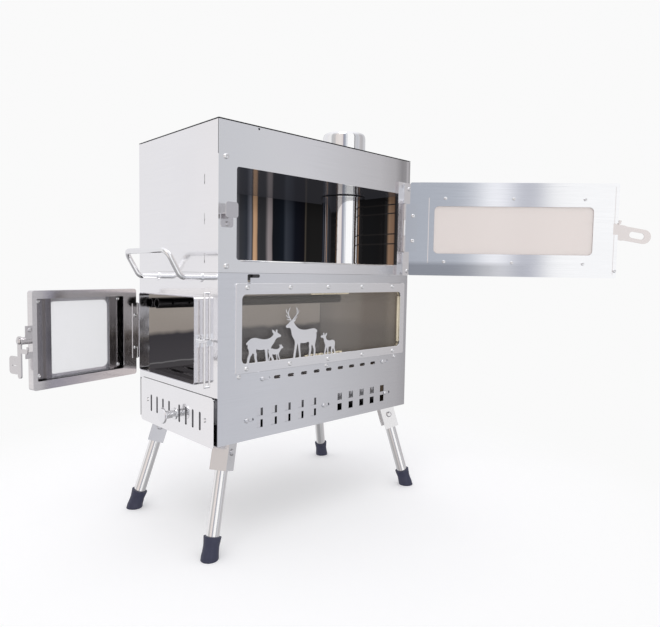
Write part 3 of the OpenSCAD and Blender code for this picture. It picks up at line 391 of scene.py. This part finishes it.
STEEL_FRONT = sheet_steel("steel_front", (0.95, 0.955, 0.98), 0.17, ALONG_X, wave=0.2,
                          tone_of=lower_front_shade)
STEEL_OVEN_FRONT = sheet_steel("steel_oven_front", (0.97, 0.965, 0.98), 0.17, ALONG_X, wave=0.2,
                               tone_of=oven_front_shade)
STEEL_FRAME = sheet_steel("steel_frame", (0.97, 0.965, 0.975), 0.15, ALONG_X)
STEEL_END = sheet_steel("steel_end", (0.965, 0.96, 0.97), 0.10, ALONG_Y, streak=0.01, wave=0.12,
                        tone_of=drawer_gap_shade)
STEEL_REAR = sheet_steel("steel_rear", (0.90, 0.90, 0.92), 0.2, ALONG_X, inside_of=rear_inside_light,
                         glow=0.8)
STEEL_RIGHT = sheet_steel("steel_right", (0.93, 0.93, 0.94), 0.16, ALONG_Y, inside_of=right_inside_light,
                          glow=0.85)
STEEL_DRAWER = sheet_steel("steel_drawer", (0.99, 0.985, 0.99), 0.10, ALONG_Y, streak=0.01,
                           tone_of=drawer_top_line)
STEEL_BRIGHT = sheet_steel("steel_bright", (0.95, 0.95, 0.96), 0.10, UPRIGHT)
STEEL_PIPE = sheet_steel("steel_pipe", (0.97, 0.97, 0.98), 0.06, (1, 1, 0.02), tone_of=pipe_ring)
STEEL_FITTING = sheet_steel("steel_fitting", (0.72, 0.70, 0.71), 0.16, SHORT)
STEEL_LEVER = sheet_steel("steel_lever", (0.78, 0.73, 0.72), 0.16, SHORT)
STEEL_TOP = sheet_steel("steel_top", (0.90, 0.90, 0.92), 0.2, ALONG_X, tone_of=rim_shade)
STEEL_DOOR = sheet_steel("steel_door", (0.95, 0.955, 0.975), 0.09, LEVEL, streak=0.03, wave=0.1,
                         tone_of=door_shade)
STEEL_PAN = sheet_steel("steel_pan", (0.80, 0.78, 0.79), 0.14, LEVEL, streak=0.05)
STEEL_HOLDER = sheet_steel("steel_holder", (0.36, 0.345, 0.355), 0.16, UPRIGHT, streak=0.08)
STEEL_LINER = sheet_steel("steel_liner", (0.05, 0.05, 0.055), 0.10, (1, 1, 0.01),
                          inside_of=liner_reflections, glow=0.85)
STEEL_COLLAR = sheet_steel("steel_collar", (0.86, 0.84, 0.85), 0.14, ALONG_X, streak=0.04,
                           tone_of=collar_outside_shade)
STEEL_DARK = sheet_steel("steel_dark", (0.10, 0.098, 0.10), 0.35)
STEEL_GRATE = sheet_steel("steel_grate", (0.34, 0.32, 0.33), 0.25)
STEEL_TRAY = sheet_steel("steel_tray", (0.80, 0.80, 0.82), 0.32, ALONG_X, streak=0.06)
STEEL_SLIDER = sheet_steel("steel_slider", (0.90, 0.90, 0.92), 0.2, ALONG_X)
STEEL_BRACKET = sheet_steel("steel_bracket", (0.80, 0.79, 0.80), 0.2, (1, 1, 0.2))
STEEL_TUBE = sheet_steel("steel_tube", (0.96, 0.95, 0.95), 0.10, UPRIGHT)
STEEL_SCREW = sheet_steel("steel_screw", (0.93, 0.93, 0.94), 0.14)

# A little light on the tray, which is seen through the vents
tray_shader = STEEL_TRAY.node_tree.nodes["Principled BSDF"]
tray_shader.inputs["Emission Color"].default_value = (0.10, 0.10, 0.105, 1)
tray_shader.inputs["Emission Strength"].default_value = 0.5


def make_glass(name, tint, alpha):
    """Flat glass with a little dust: alpha says how much of its own tint it shows."""
    mat, nt, b = new_mat(name)
    b.inputs["Base Color"].default_value = (*tint, 1)
    b.inputs["IOR"].default_value = 1.5
    b.inputs["Alpha"].default_value = alpha
    dust = noise(nt, mapped(nt), 30)
    nt.links.new(ramp(nt, dust, [(0.3, 0.03), (0.8, 0.09)]), b.inputs["Roughness"])
    return mat


GLASS_WINDOW = make_glass("glass_window", (0.30, 0.285, 0.27), 0.22)
GLASS_DOOR = make_glass("glass_door", (0.90, 0.83, 0.80), 0.75)
GLASS_FUEL = make_glass("glass_fuel", (0.80, 0.80, 0.86), 0.25)


def make_rope():
    mat, nt, b = new_mat("gasket_rope")
    weave = nt.nodes.new("ShaderNodeTexVoronoi")
    weave.inputs["Scale"].default_value = 700
    nt.links.new(mapped(nt), weave.inputs["Vector"])
    strand = weave.outputs["Distance"]
    nt.links.new(mix(nt, strand, (0.90, 0.83, 0.66), (0.74, 0.64, 0.46)), b.inputs["Base Color"])
    b.inputs["Roughness"].default_value = 0.9
    bump(nt, b, strand, 0.6, 0.0008)
    return mat


def make_rubber():
    mat, nt, b = new_mat("rubber_navy")
    pores = noise(nt, mapped(nt), 260, 4, 0.7)
    dust = ramp(nt, noise(nt, mapped(nt), 40), [(0.5, 0.0), (0.75, 0.2)])
    navy = mix(nt, pores, (0.028, 0.030, 0.062), (0.042, 0.045, 0.085))
    nt.links.new(mix(nt, dust, navy, (0.10, 0.10, 0.13)), b.inputs["Base Color"])
    nt.links.new(ramp(nt, pores, [(0.2, 0.42), (0.8, 0.6)]), b.inputs["Roughness"])
    bump(nt, b, pores, 0.2, 0.0004)
    return mat


ROPE = make_rope()
RUBBER = make_rubber()

LEGS = ["front_left", "front_right", "rear_left", "rear_right"]
LOOKS = {
    STEEL_FRONT: ["front_panel"],
    STEEL_OVEN_FRONT: ["oven_front"],
    STEEL_FRAME: ["window_frame", "oven_hinge_strip"],
    STEEL_END: ["left_end_panel", "oven_wrap", "bottom_pan"],
    STEEL_REAR: ["rear_panel"],
    STEEL_RIGHT: ["right_end_panel"],
    STEEL_DRAWER: ["drawer_front"],
    STEEL_COLLAR: ["fuel_collar"],
    STEEL_TOP: ["top_plate"],
    STEEL_PIPE: ["flue_pipe", "flue_collar"],
    STEEL_BRIGHT: ["left_handle", "right_handle", "drawer_knob", "knob_spring", "oven_door_leaf",
                   "fuel_striker"],
    STEEL_FITTING: ["fixed_hinge_leaves", "fuel_door_leaf", "oven_catch", "fuel_latch_lever",
                    "fuel_latch_ears"],
    STEEL_LEVER: ["oven_latch_lever"],
    STEEL_DOOR: ["oven_door_panel", "oven_glass_frame"],
    STEEL_PAN: ["fuel_door_pan"],
    STEEL_HOLDER: ["fuel_glass_holders"],
    STEEL_LINER: ["oven_liner"],
    STEEL_DARK: ["middle_deck", "inner_rails", "air_tubes", "damper_plate", "hinge_pins"],
    STEEL_GRATE: ["grate"],
    STEEL_TRAY: ["drawer_tray"],
    STEEL_SLIDER: ["drawer_shutter", "upper_air_slider", "lower_air_slider"],
    STEEL_BRACKET: ["leg_brackets", "leg_pins"],
    STEEL_TUBE: [leg + "_leg" for leg in LEGS],
    STEEL_SCREW: ["front_screws", "oven_door_screws", "fuel_door_screws", "oven_latch_bolt"],
    GLASS_WINDOW: ["window_glass"],
    GLASS_DOOR: ["oven_door_glass"],
    GLASS_FUEL: ["fuel_door_glass"],
    ROPE: ["window_gasket"],
    RUBBER: [leg + "_foot" for leg in LEGS],
}
for mat, names in LOOKS.items():
    for name in names:
        NODES[name].data.materials.clear()
        NODES[name].data.materials.append(mat)
missed = set(NODES) - {name for names in LOOKS.values() for name in names}
assert not missed, missed


# Pieces
def piece(name, verts, faces, mat, body, smooth=True):
    """A mesh in metres that rides on a body."""
    mesh = bpy.data.meshes.new(name)
    mesh.from_pydata(verts, [], faces)
    mesh.update()
    for face in mesh.polygons:
        face.use_smooth = smooth
    obj = bpy.data.objects.new(name, mesh)
    bpy.context.scene.collection.objects.link(obj)
    mesh.materials.append(mat)
    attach(obj, body)
    return obj


def islands(node):
    """The points of each loose part of a node's mesh."""
    bm = bmesh.new()
    bm.from_mesh(NODES[node].data)
    bmesh.ops.remove_doubles(bm, verts=bm.verts, dist=1e-6)
    seen, out = set(), []
    for vert in bm.verts:
        if vert.index in seen:
            continue
        stack, group = [vert], []
        seen.add(vert.index)
        while stack:
            here = stack.pop()
            group.append(here.co.copy())
            for edge in here.link_edges:
                other = edge.other_vert(here)
                if other.index not in seen:
                    seen.add(other.index)
                    stack.append(other)
        out.append(group)
    bm.free()
    return out


def across(axis, tilt=(0.31, 0.2, 0.93)):
    """Two directions at right angles to an axis and to each other. Only tilt sets how they turn."""
    side = axis.cross(Vector(tilt)).normalized()
    return side, axis.cross(side)


def tube_faces(faces, start, count, rings):
    """Joins rings of count points, from point start on, and closes both ends."""
    for k in range(rings - 1):
        a, b = start + k * count, start + (k + 1) * count
        for i in range(count):
            j = (i + 1) % count
            faces.append((a + i, a + j, b + j, b + i))
    faces.append(tuple(start + i for i in reversed(range(count))))
    faces.append(tuple(start + (rings - 1) * count + i for i in range(count)))


# A screw head's outline as shares of its radius and height, and the rings from which it is six sided
HEAD_RINGS = [(1, 0), (1, 0.35), (0.93, 0.68), (0.75, 0.9), (0.52, 1), (0.40, 1), (0.36, 0.55)]
FIRST_SIX_SIDED = 5
HEAD_SIDES = 24


def screw_head(verts, faces, base, axis, radius, height, turn):
    """A domed head with a six sided recess, standing on base along axis."""
    side, up = across(axis)
    start = len(verts)
    for k, (share, rise) in enumerate(HEAD_RINGS):
        for i in range(HEAD_SIDES):
            angle = 2 * math.pi * i / HEAD_SIDES
            r = share * radius
            if k >= FIRST_SIX_SIDED:
                r *= 0.92 / math.cos(angle % (math.pi / 3) - math.pi / 6)
            spoke = side * math.cos(turn + angle) + up * math.sin(turn + angle)
            verts.append(base + axis * rise * height + spoke * r)
    tube_faces(faces, start, HEAD_SIDES, len(HEAD_RINGS))


def dress_screws(node, body, outward, name):
    """Puts a domed head in the place of each plain screw of a node."""
    verts, faces = [], []
    outward = outward.normalized()
    for k, group in enumerate(islands(node)):
        lo = Vector([min(p[i] for p in group) for i in range(3)])
        hi = Vector([max(p[i] for p in group) for i in range(3)])
        mid = (lo + hi) / 2
        along = [(p - mid).dot(outward) for p in group]
        radius = max(((p - mid) - outward * (p - mid).dot(outward)).length for p in group)
        base = mid + outward * min(along)
        screw_head(verts, faces, base, outward, radius, max(along) - min(along), 0.7 * k)
    heads = piece(name, [tuple(v) for v in verts], faces, STEEL_SCREW, body)
    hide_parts(node)


FRONT_OUT = Vector((0, -1, 0))
OVEN_DOOR_IN = Vector((-0.72868, -0.68485, 0))  # the way the open oven door's inner face looks
FUEL_DOOR_IN = Vector((0.2563, -0.9666, 0))  # the same for the open fuel door
dress_screws("front_screws", "stove", FRONT_OUT, "front_screw_heads")
dress_screws("oven_door_screws", "oven_door", OVEN_DOOR_IN, "oven_door_screw_heads")
dress_screws("fuel_door_screws", "fuel_door", FUEL_DOOR_IN, "fuel_door_screw_heads")


# The window's frame and the deer cut out with it, in millimetres
def round_rect(x0, x1, z0, z1, r, steps=8):
    """An upright rectangle's outline with rounded corners."""
    corners = ((x1 - r, z1 - r, 0), (x0 + r, z1 - r, 90), (x0 + r, z0 + r, 180), (x1 - r, z0 + r, 270))
    out = []
    for x, z, first in corners:
        for i in range(steps + 1):
            angle = math.radians(first + 90 * i / steps)
            out.append((x + r * math.cos(angle), z + r * math.sin(angle)))
    return out


def ring_plate(name, loops, mat):
    """An upright ring of the stove. Its loops are (outline, y), each joined to the next."""
    verts, faces = [], []
    count = len(loops[0][0])
    for outline, y in loops:
        verts += [(x * MM, y * MM, z * MM) for x, z in outline]
    for k in range(len(loops)):
        a, b = k * count, (k + 1) % len(loops) * count
        for i in range(count):
            j = (i + 1) % count
            faces.append((a + i, a + j, b + j, b + i))
    return piece(name, verts, faces, mat, "stove", smooth=False)


frame_lo, frame_hi = box_mm("window_frame")
LEFT, OUTER_Y, FOOT = frame_lo
RIGHT, FRONT_Y, TOP = frame_hi
WINDOW_LEFT, WINDOW_RIGHT = LEFT + 11, RIGHT - 11
WINDOW_FOOT, WINDOW_TOP = FOOT + 14, TOP - 16
EDGE = 0.4  # bevel of the frame's edges


def frame_outline(inset):
    return round_rect(LEFT + inset, RIGHT - inset, FOOT + inset, TOP - inset, 3 - inset)


def window_outline(outset):
    return round_rect(WINDOW_LEFT - outset, WINDOW_RIGHT + outset, WINDOW_FOOT - outset,
                      WINDOW_TOP + outset, 7 + outset)


frame_ring = ring_plate("window_frame_ring", [
    (frame_outline(0), FRONT_Y), (frame_outline(0), OUTER_Y + EDGE), (frame_outline(EDGE), OUTER_Y),
    (window_outline(EDGE), OUTER_Y), (window_outline(0), OUTER_Y + EDGE), (window_outline(0), FRONT_Y),
], STEEL_FRAME)
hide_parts("window_frame")


def soften(outline, cut=0.22):
    """Cuts each corner of an outline."""
    out = []
    for a, b in zip(outline, outline[1:] + outline[:1]):
        for t in (cut, 1 - cut):
            out.append((a[0] + (b[0] - a[0]) * t, a[1] + (b[1] - a[1]) * t))
    return out


def branch(line, width, tip):
    """The outline of an antler's beam or tine: a line that tapers from width to tip."""
    left, right, last = [], [], len(line) - 1
    for i, (x, z) in enumerate(line):
        a, b = line[max(0, i - 1)], line[min(last, i + 1)]
        dx, dz = b[0] - a[0], b[1] - a[1]
        half = (width + (tip - width) * i / last) / 2 / math.hypot(dx, dz)
        left.append((x - dz * half, z + dx * half))
        right.append((x + dz * half, z - dx * half))
    return left + right[::-1]


class Figures:
    """Flat figures standing on the window's foot, cut from the frame's sheet."""

    def __init__(self):
        self.verts, self.faces = [], []

    def add(self, outline, nose, sx, sz, proud=0.0, thick=1.15):
        """An outline with its nose at x 0. It starts proud of the rest, so that no two share a face."""
        loop = [(nose + x * sx, WINDOW_FOOT + z * sz) for x, z in soften(outline)]
        turned = sum(a[0] * b[1] - b[0] * a[1] for a, b in zip(loop, loop[1:] + loop[:1]))
        if turned < 0:
            loop.reverse()
        y0 = OUTER_Y + 0.05 - proud
        start, count = len(self.verts), len(loop)
        for y in (y0, y0 + thick):
            self.verts += [(x * MM, y * MM, z * MM) for x, z in loop]
        self.faces.append(tuple(start + i for i in range(count)))
        self.faces.append(tuple(start + count + i for i in reversed(range(count))))
        for i in range(count):
            j = (i + 1) % count
            self.faces.append((start + i, start + count + i, start + count + j, start + j))


# Each outline starts at the nose, with x to the tail, z up and the hooves below the window's foot
STAG = [
    (0, 49), (2.5, 46.6), (6, 47.3), (9.3, 45.6), (10.8, 41), (11.8, 36), (14.4, 31), (17.2, 27.5),
    (18.4, 23.5), (18.2, 17), (16.9, 10), (15.8, 2), (14.6, -2), (18.2, -2), (19.2, 2), (20.4, 10),
    (22, 18), (23.2, 22.8), (24.4, 18), (25.6, 10), (27.2, 2), (26.6, -2), (30.2, -2), (29.9, 2),
    (28.8, 10), (28.2, 17), (28.8, 22.6), (34, 21.6), (40, 21.8), (45.3, 23.4), (46.8, 19.6),
    (46, 15.5), (47.4, 11), (47, 6), (46.2, 2), (45, -2), (48.7, -2), (49.3, 2), (50.4, 7),
    (51.2, 12), (50.8, 15.6), (52.6, 18.6), (54, 14.8), (56, 11), (56.4, 6), (56, 2), (55, -2),
    (58.7, -2), (59.3, 2), (59.6, 7), (59.6, 12), (58.2, 16), (59.2, 21), (61, 27), (61.4, 33),
    (60.6, 38), (62.4, 36.4), (63, 39.6), (60.4, 41.8), (56, 43.8), (48, 43), (40, 42), (32, 42.6),
    (25.5, 44.6), (20.5, 48.2), (16.8, 52.6), (15, 55.6), (18.2, 56.6), (19.6, 59.2), (15.6, 59.2),
    (12.8, 57.8), (8.4, 56.8), (4.6, 53), (1.2, 51.2),
]

DOE = [
    (0, 37.4), (1.8, 35), (5.4, 35), (9, 33.2), (11.4, 29), (14, 25), (16.8, 22.2), (17.8, 18),
    (16.4, 12), (15, 7), (12.4, 2), (10.8, -2), (14.6, -2), (15.8, 2), (18.4, 7), (20.2, 12),
    (21.8, 17.2), (22.8, 19.5), (23.4, 15), (23.2, 8), (22.6, 2), (21.6, -2), (25.3, -2), (25.9, 2),
    (26.6, 8), (27.2, 14.6), (28.4, 18.8), (33, 17.8), (38.5, 18.6), (42, 20.2), (42.4, 16),
    (40.8, 12.2), (41.6, 8), (40.2, 2), (39, -2), (42.7, -2), (43.5, 2), (45, 8), (45, 12),
    (47.4, 15), (49, 12.2), (51.6, 9), (52.6, 5), (53.4, 2), (52.8, -2), (56.5, -2), (56.5, 2),
    (55.9, 6), (54.9, 10), (53, 13.5), (53.8, 18), (55.4, 23), (55.6, 28.5), (57.2, 27), (57.8, 30),
    (55, 33.2), (50.5, 36.4), (44, 37.2), (37, 35.2), (30, 33.6), (24.5, 33.6), (19.5, 34.8),
    (15.5, 37.4), (12.8, 40.6), (15.8, 44.2), (15.4, 47.8), (11.8, 45.2), (10, 42.4), (9, 47.4),
    (6.9, 47), (6.8, 42), (4.6, 40.8), (1.6, 39),
]

FAWN = [
    (0, 26.6), (1.6, 24.9), (4.6, 25.1), (6.2, 22.4), (6.8, 18.4), (8.6, 15.3), (9, 12), (8, 6),
    (6.6, 1.4), (5.8, -2), (8.6, -2), (9.2, 1.4), (10.6, 6), (11.9, 11.2), (12.5, 6.5), (12.8, 1.4),
    (12.2, -2), (14.9, -2), (15, 1.4), (14.8, 6.5), (15.6, 11), (18, 10.7), (20, 11.3), (20.3, 8.4),
    (19.5, 5.6), (19.8, 1.4), (19, -2), (21.9, -2), (22.2, 1.4), (22.4, 5.8), (23.5, 8.2),
    (24.4, 6.2), (25.5, 4), (26.3, 1.4), (26, -2), (28.7, -2), (28.5, 1.6), (27.6, 5), (26.4, 8),
    (26.8, 12), (27.2, 16), (25.6, 19.5), (22, 20.6), (17, 19.8), (12.8, 20.6), (10.6, 23),
    (9.6, 26), (12, 29.4), (11.6, 32), (8.7, 29.6), (7.5, 27.9), (6.6, 32.2), (4.8, 31.6),
    (5, 28.4), (3.1, 28.5), (1, 27.9),
]

ANTLERS = [
    ([(10.4, 57), (7.6, 61.5), (4.8, 66.5), (5.2, 72.5), (8.2, 77.5)], 2.0, 1.0),
    ([(7.4, 62), (3.2, 63.2), (0.2, 66.8)], 1.6, 0.9),
    ([(4.8, 67.5), (1.4, 70.6), (0.6, 75)], 1.5, 0.9),
    ([(9.2, 59.4), (5.4, 58.8), (1.6, 60.6)], 1.5, 0.9),
    ([(12.4, 57.4), (15.8, 61.2), (20.2, 65), (22.4, 70.5), (20.8, 77.5)], 2.0, 1.0),
    ([(15.4, 60.8), (19.6, 61), (22.6, 63.4)], 1.5, 0.9),
    ([(21.2, 66.8), (24.4, 69.4), (25.2, 73.4)], 1.5, 0.9),
]
NOSES = {"doe": WINDOW_LEFT + 71, "small fawn": WINDOW_LEFT + 75.5, "stag": WINDOW_LEFT + 79.5,
         "fawn": WINDOW_LEFT + 151.5}
figures = Figures()
figures.add(DOE, NOSES["doe"], -1.10, 0.97)
figures.add(DOE, NOSES["small fawn"], -0.50, 0.49, proud=0.03)
figures.add(STAG, NOSES["stag"], 1.03, 1.0)
for k, (line, width, tip) in enumerate(ANTLERS):
    figures.add(branch(line, width, tip), NOSES["stag"], 1.03, 1.0, proud=-0.03 - 0.02 * k, thick=1.0)
figures.add(FAWN, NOSES["fawn"], 1.20, 1.10)
deer = piece("deer_cutouts", figures.verts, figures.faces, STEEL_FRAME, "stove", smooth=False)
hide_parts("window_frame")

# The thin backing sheet behind the frame, whose lower corners show as fine dark lines
BACKING_T = 0.3
sheet_edge = round_rect(LEFT - 3, RIGHT + 1, FOOT - 8.5, TOP + 1, 9)
sheet_hole = round_rect(LEFT + 1, RIGHT - 2, FOOT - 1, TOP - 3, 3)
ring_plate("window_backing", [
    (sheet_edge, FRONT_Y), (sheet_edge, FRONT_Y - BACKING_T),
    (sheet_hole, FRONT_Y - BACKING_T), (sheet_hole, FRONT_Y),
], STEEL_FRONT)

# The turned lip along the foot of the oven's opening: its profile as (y, z) from the front
LIP_X = (-168, 163)
LIP_Z = 411.15
LIP = [(0, 0), (-0.35, 0.1), (-0.6, 0.5), (-0.7, 1.1), (-0.6, 1.7), (-0.35, 2.1), (0, 2.2)]
verts = [(x * MM, (FRONT_Y + y) * MM, (LIP_Z + z) * MM) for x in LIP_X for y, z in LIP]
count = len(LIP)
faces = [(i, i + 1, count + i + 1, count + i) for i in range(count - 1)]
faces += [tuple(reversed(range(count))), tuple(range(count, 2 * count))]
piece("oven_sill_lip", verts, faces, STEEL_TUBE, "stove")


def rod(verts, faces, start, end, radius, sides=16):
    """A round bar between two points in millimetres."""
    start, end = Vector(start) * MM, Vector(end) * MM
    side, up = across((end - start).normalized(), (0.2, 0.3, 0.93))
    first = len(verts)
    for centre in (start, end):
        for i in range(sides):
            angle = 2 * math.pi * i / sides
            spoke = side * math.cos(angle) + up * math.sin(angle)
            verts.append(tuple(centre + spoke * radius * MM))
    tube_faces(faces, first, sides, 2)


# Strands of rope that show along the window's top, foot and right edge
STRANDS = 9
ROPE_Y = FRONT_Y + 1.3
verts, faces = [], []
for i in range(STRANDS):
    x = -33 + 9.4 * i
    rod(verts, faces, (x, ROPE_Y, WINDOW_TOP - 0.6), (x + 8.4, ROPE_Y, WINDOW_TOP - 0.4), 1.5)
for i in range(STRANDS):
    x = -44 + 9.2 * i
    z = WINDOW_FOOT + 0.4 + i % 3 * 0.5
    far_z = WINDOW_FOOT + 0.8 + i % 2 * 0.7
    rod(verts, faces, (x, ROPE_Y, z), (x + 7.4, ROPE_Y, far_z), 1.5)
side_x, side_y = WINDOW_RIGHT - 2, FRONT_Y + 2.3
rod(verts, faces, (side_x, side_y, WINDOW_FOOT + 8), (side_x, side_y, WINDOW_TOP - 8), 2.2)
piece("gasket_strands", verts, faces, ROPE, "stove")


# Stage
WHITE = (0.955, 0.955, 0.955)
# What stands round the object in the room, by compass angle in degrees: metal mirrors it
ROOM = [
    (-180, (0.74, 0.69, 0.665)), (-160, (0.80, 0.75, 0.725)), (-143, (0.76, 0.70, 0.68)),
    (-138, (0.24, 0.24, 0.31)), (-131, (0.425, 0.45, 0.50)), (-125.5, (0.425, 0.45, 0.505)),
    (-124.3, (0.97, 0.975, 1.0)), (-122.5, (0.96, 0.965, 1.0)), (-121.6, (0.455, 0.465, 0.525)),
    (-119.6, (0.455, 0.465, 0.525)), (-118.7, (0.98, 0.98, 0.98)), (-80, (1, 1, 1)),
    (-78, (0.12, 0.12, 0.14)), (-75.5, (0.14, 0.14, 0.16)), (-74, (0.58, 0.58, 0.60)),
    (-57, (0.53, 0.54, 0.58)), (-50, (0.60, 0.60, 0.63)), (-44, (0.56, 0.56, 0.58)),
    (-38, (0.50, 0.48, 0.49)), (-20, (0.46, 0.45, 0.46)), (0, (0.60, 0.60, 0.62)),
    (60, (0.60, 0.60, 0.61)), (72, (0.82, 0.82, 0.84)), (116, (0.80, 0.795, 0.815)),
    (120, (0.80, 0.795, 0.82)), (124, (0.82, 0.80, 0.81)), (148, (0.86, 0.86, 0.86)),
    (156, (0.52, 0.52, 0.53)), (176, (0.56, 0.54, 0.54)), (180, (0.74, 0.69, 0.665)),
]


def make_world():
    """The room that lights the object, and plain white where the camera looks past it."""
    world = bpy.data.worlds.new("studio")
    bpy.context.scene.world = world
    world.use_nodes = True
    nt = world.node_tree
    nt.nodes.clear()
    out = nt.nodes.new("ShaderNodeOutputWorld")
    coords = nt.nodes.new("ShaderNodeTexCoord")
    way = split(nt, coords.outputs["Generated"])
    compass = math_node(nt, "ARCTAN2", way[1], way[0])
    turn = plus(nt, times(nt, compass, 0.5 / math.pi), 0.5)
    room = ramp(nt, turn, [((angle + 180) / 360, colour) for angle, colour in ROOM])
    ceiling = ramp(nt, way[2], [(0.45, 0.0), (0.8, 1.0)])
    ground = ramp(nt, times(nt, way[2], -1), [(0.40, 0.0), (0.75, 1.0)])
    room = mix(nt, ceiling, room, (0.97, 0.97, 1.0))
    room = mix(nt, ground, room, (0.30, 0.30, 0.31))
    lit = nt.nodes.new("ShaderNodeBackground")
    nt.links.new(room, lit.inputs[0])
    plain = nt.nodes.new("ShaderNodeBackground")
    plain.inputs[0].default_value = (*WHITE, 1)
    path = nt.nodes.new("ShaderNodeLightPath")
    choice = nt.nodes.new("ShaderNodeMixShader")
    past = math_node(nt, "MAXIMUM", path.outputs["Is Camera Ray"], path.outputs["Is Transmission Ray"])
    nt.links.new(past, choice.inputs[0])
    nt.links.new(lit.outputs[0], choice.inputs[1])
    nt.links.new(plain.outputs[0], choice.inputs[2])
    nt.links.new(choice.outputs[0], out.inputs[0])


FLOOR_HALF = 15
FLOOR_Z = -0.0003


def make_floor():
    """A white floor that keeps the object's shadow and fades to plain white further out."""
    corners = [(x * FLOOR_HALF, y * FLOOR_HALF, 0) for x, y in ((-1, -1), (1, -1), (1, 1), (-1, 1))]
    mesh = bpy.data.meshes.new("floor")
    mesh.from_pydata(corners, [], [(0, 1, 2, 3)])
    floor = bpy.data.objects.new("floor", mesh)
    floor.location = (0, 0, FLOOR_Z)
    bpy.context.scene.collection.objects.link(floor)

    mat, nt, b = new_mat("floor_white")
    b.inputs["Base Color"].default_value = (0.90, 0.90, 0.90, 1)
    b.inputs["Roughness"].default_value = 0.9
    b.inputs["Specular IOR Level"].default_value = 0.0
    b.inputs["Emission Color"].default_value = (1, 1, 1, 1)
    b.inputs["Emission Strength"].default_value = 0.20
    far = nt.nodes.new("ShaderNodeEmission")
    far.inputs[0].default_value = (*WHITE, 1)
    fade = nt.nodes.new("ShaderNodeMixShader")
    p = place(nt)
    away = math_node(nt, "SQRT", plus(nt, times(nt, p[0], p[0]), times(nt, p[1], p[1])))
    nt.links.new(ramp(nt, away, [(0.30, 0.0), (0.75, 1.0)]), fade.inputs[0])
    nt.links.new(b.outputs[0], fade.inputs[1])
    nt.links.new(far.outputs[0], fade.inputs[2])
    # Mirrored rays pass the floor, so that the sheets mirror the room alone
    path = nt.nodes.new("ShaderNodeLightPath")
    clear = nt.nodes.new("ShaderNodeBsdfTransparent")
    choice = nt.nodes.new("ShaderNodeMixShader")
    nt.links.new(path.outputs["Is Glossy Ray"], choice.inputs[0])
    nt.links.new(fade.outputs[0], choice.inputs[1])
    nt.links.new(clear.outputs[0], choice.inputs[2])
    nt.links.new(choice.outputs[0], nt.nodes["Material Output"].inputs[0])
    mesh.materials.append(mat)


def make_lamp():
    """One soft lamp above, for the shadow."""
    light = bpy.data.lights.new("key", "AREA")
    light.energy = 9
    light.size = 1.4
    lamp = bpy.data.objects.new("key", light)
    lamp.location = (-1.3, -0.9, 2.6)
    target = Vector((0, 0, 0.35))
    lamp.rotation_euler = (target - lamp.location).to_track_quat("-Z", "Y").to_euler()
    bpy.context.scene.collection.objects.link(lamp)


# The camera as fitted to the photo: angles in degrees, its place in metres
CAMERA_AZIMUTH, CAMERA_ELEVATION, CAMERA_ROLL = -42.97, 3.83, 0.91
CAMERA_PLACE = (-0.63172, -0.77048, 0.39750)
CAMERA_LENS = 31.02
CAMERA_SHIFT = (0.0206, -0.0042)


def make_camera():
    lens = bpy.data.cameras.new("camera")
    lens.sensor_width = 36
    lens.lens = CAMERA_LENS
    lens.shift_x, lens.shift_y = CAMERA_SHIFT
    camera = bpy.data.objects.new("camera", lens)
    bpy.context.scene.collection.objects.link(camera)
    bpy.context.scene.camera = camera
    az, el, roll = (math.radians(a) for a in (CAMERA_AZIMUTH, CAMERA_ELEVATION, CAMERA_ROLL))
    back = Vector((math.sin(az) * math.cos(el), -math.cos(az) * math.cos(el), math.sin(el)))
    right = (-back).cross(Vector((0, 0, 1))).normalized()
    up = right.cross(-back)
    tilted_right = math.cos(roll) * right + math.sin(roll) * up
    tilted_up = math.cos(roll) * up - math.sin(roll) * right
    turned = Matrix((tilted_right, tilted_up, back)).transposed()
    camera.matrix_world = Matrix.Translation(CAMERA_PLACE) @ turned.to_4x4()


make_world()
make_floor()
make_lamp()
make_camera()
bpy.context.scene.view_settings.view_transform = "Standard"
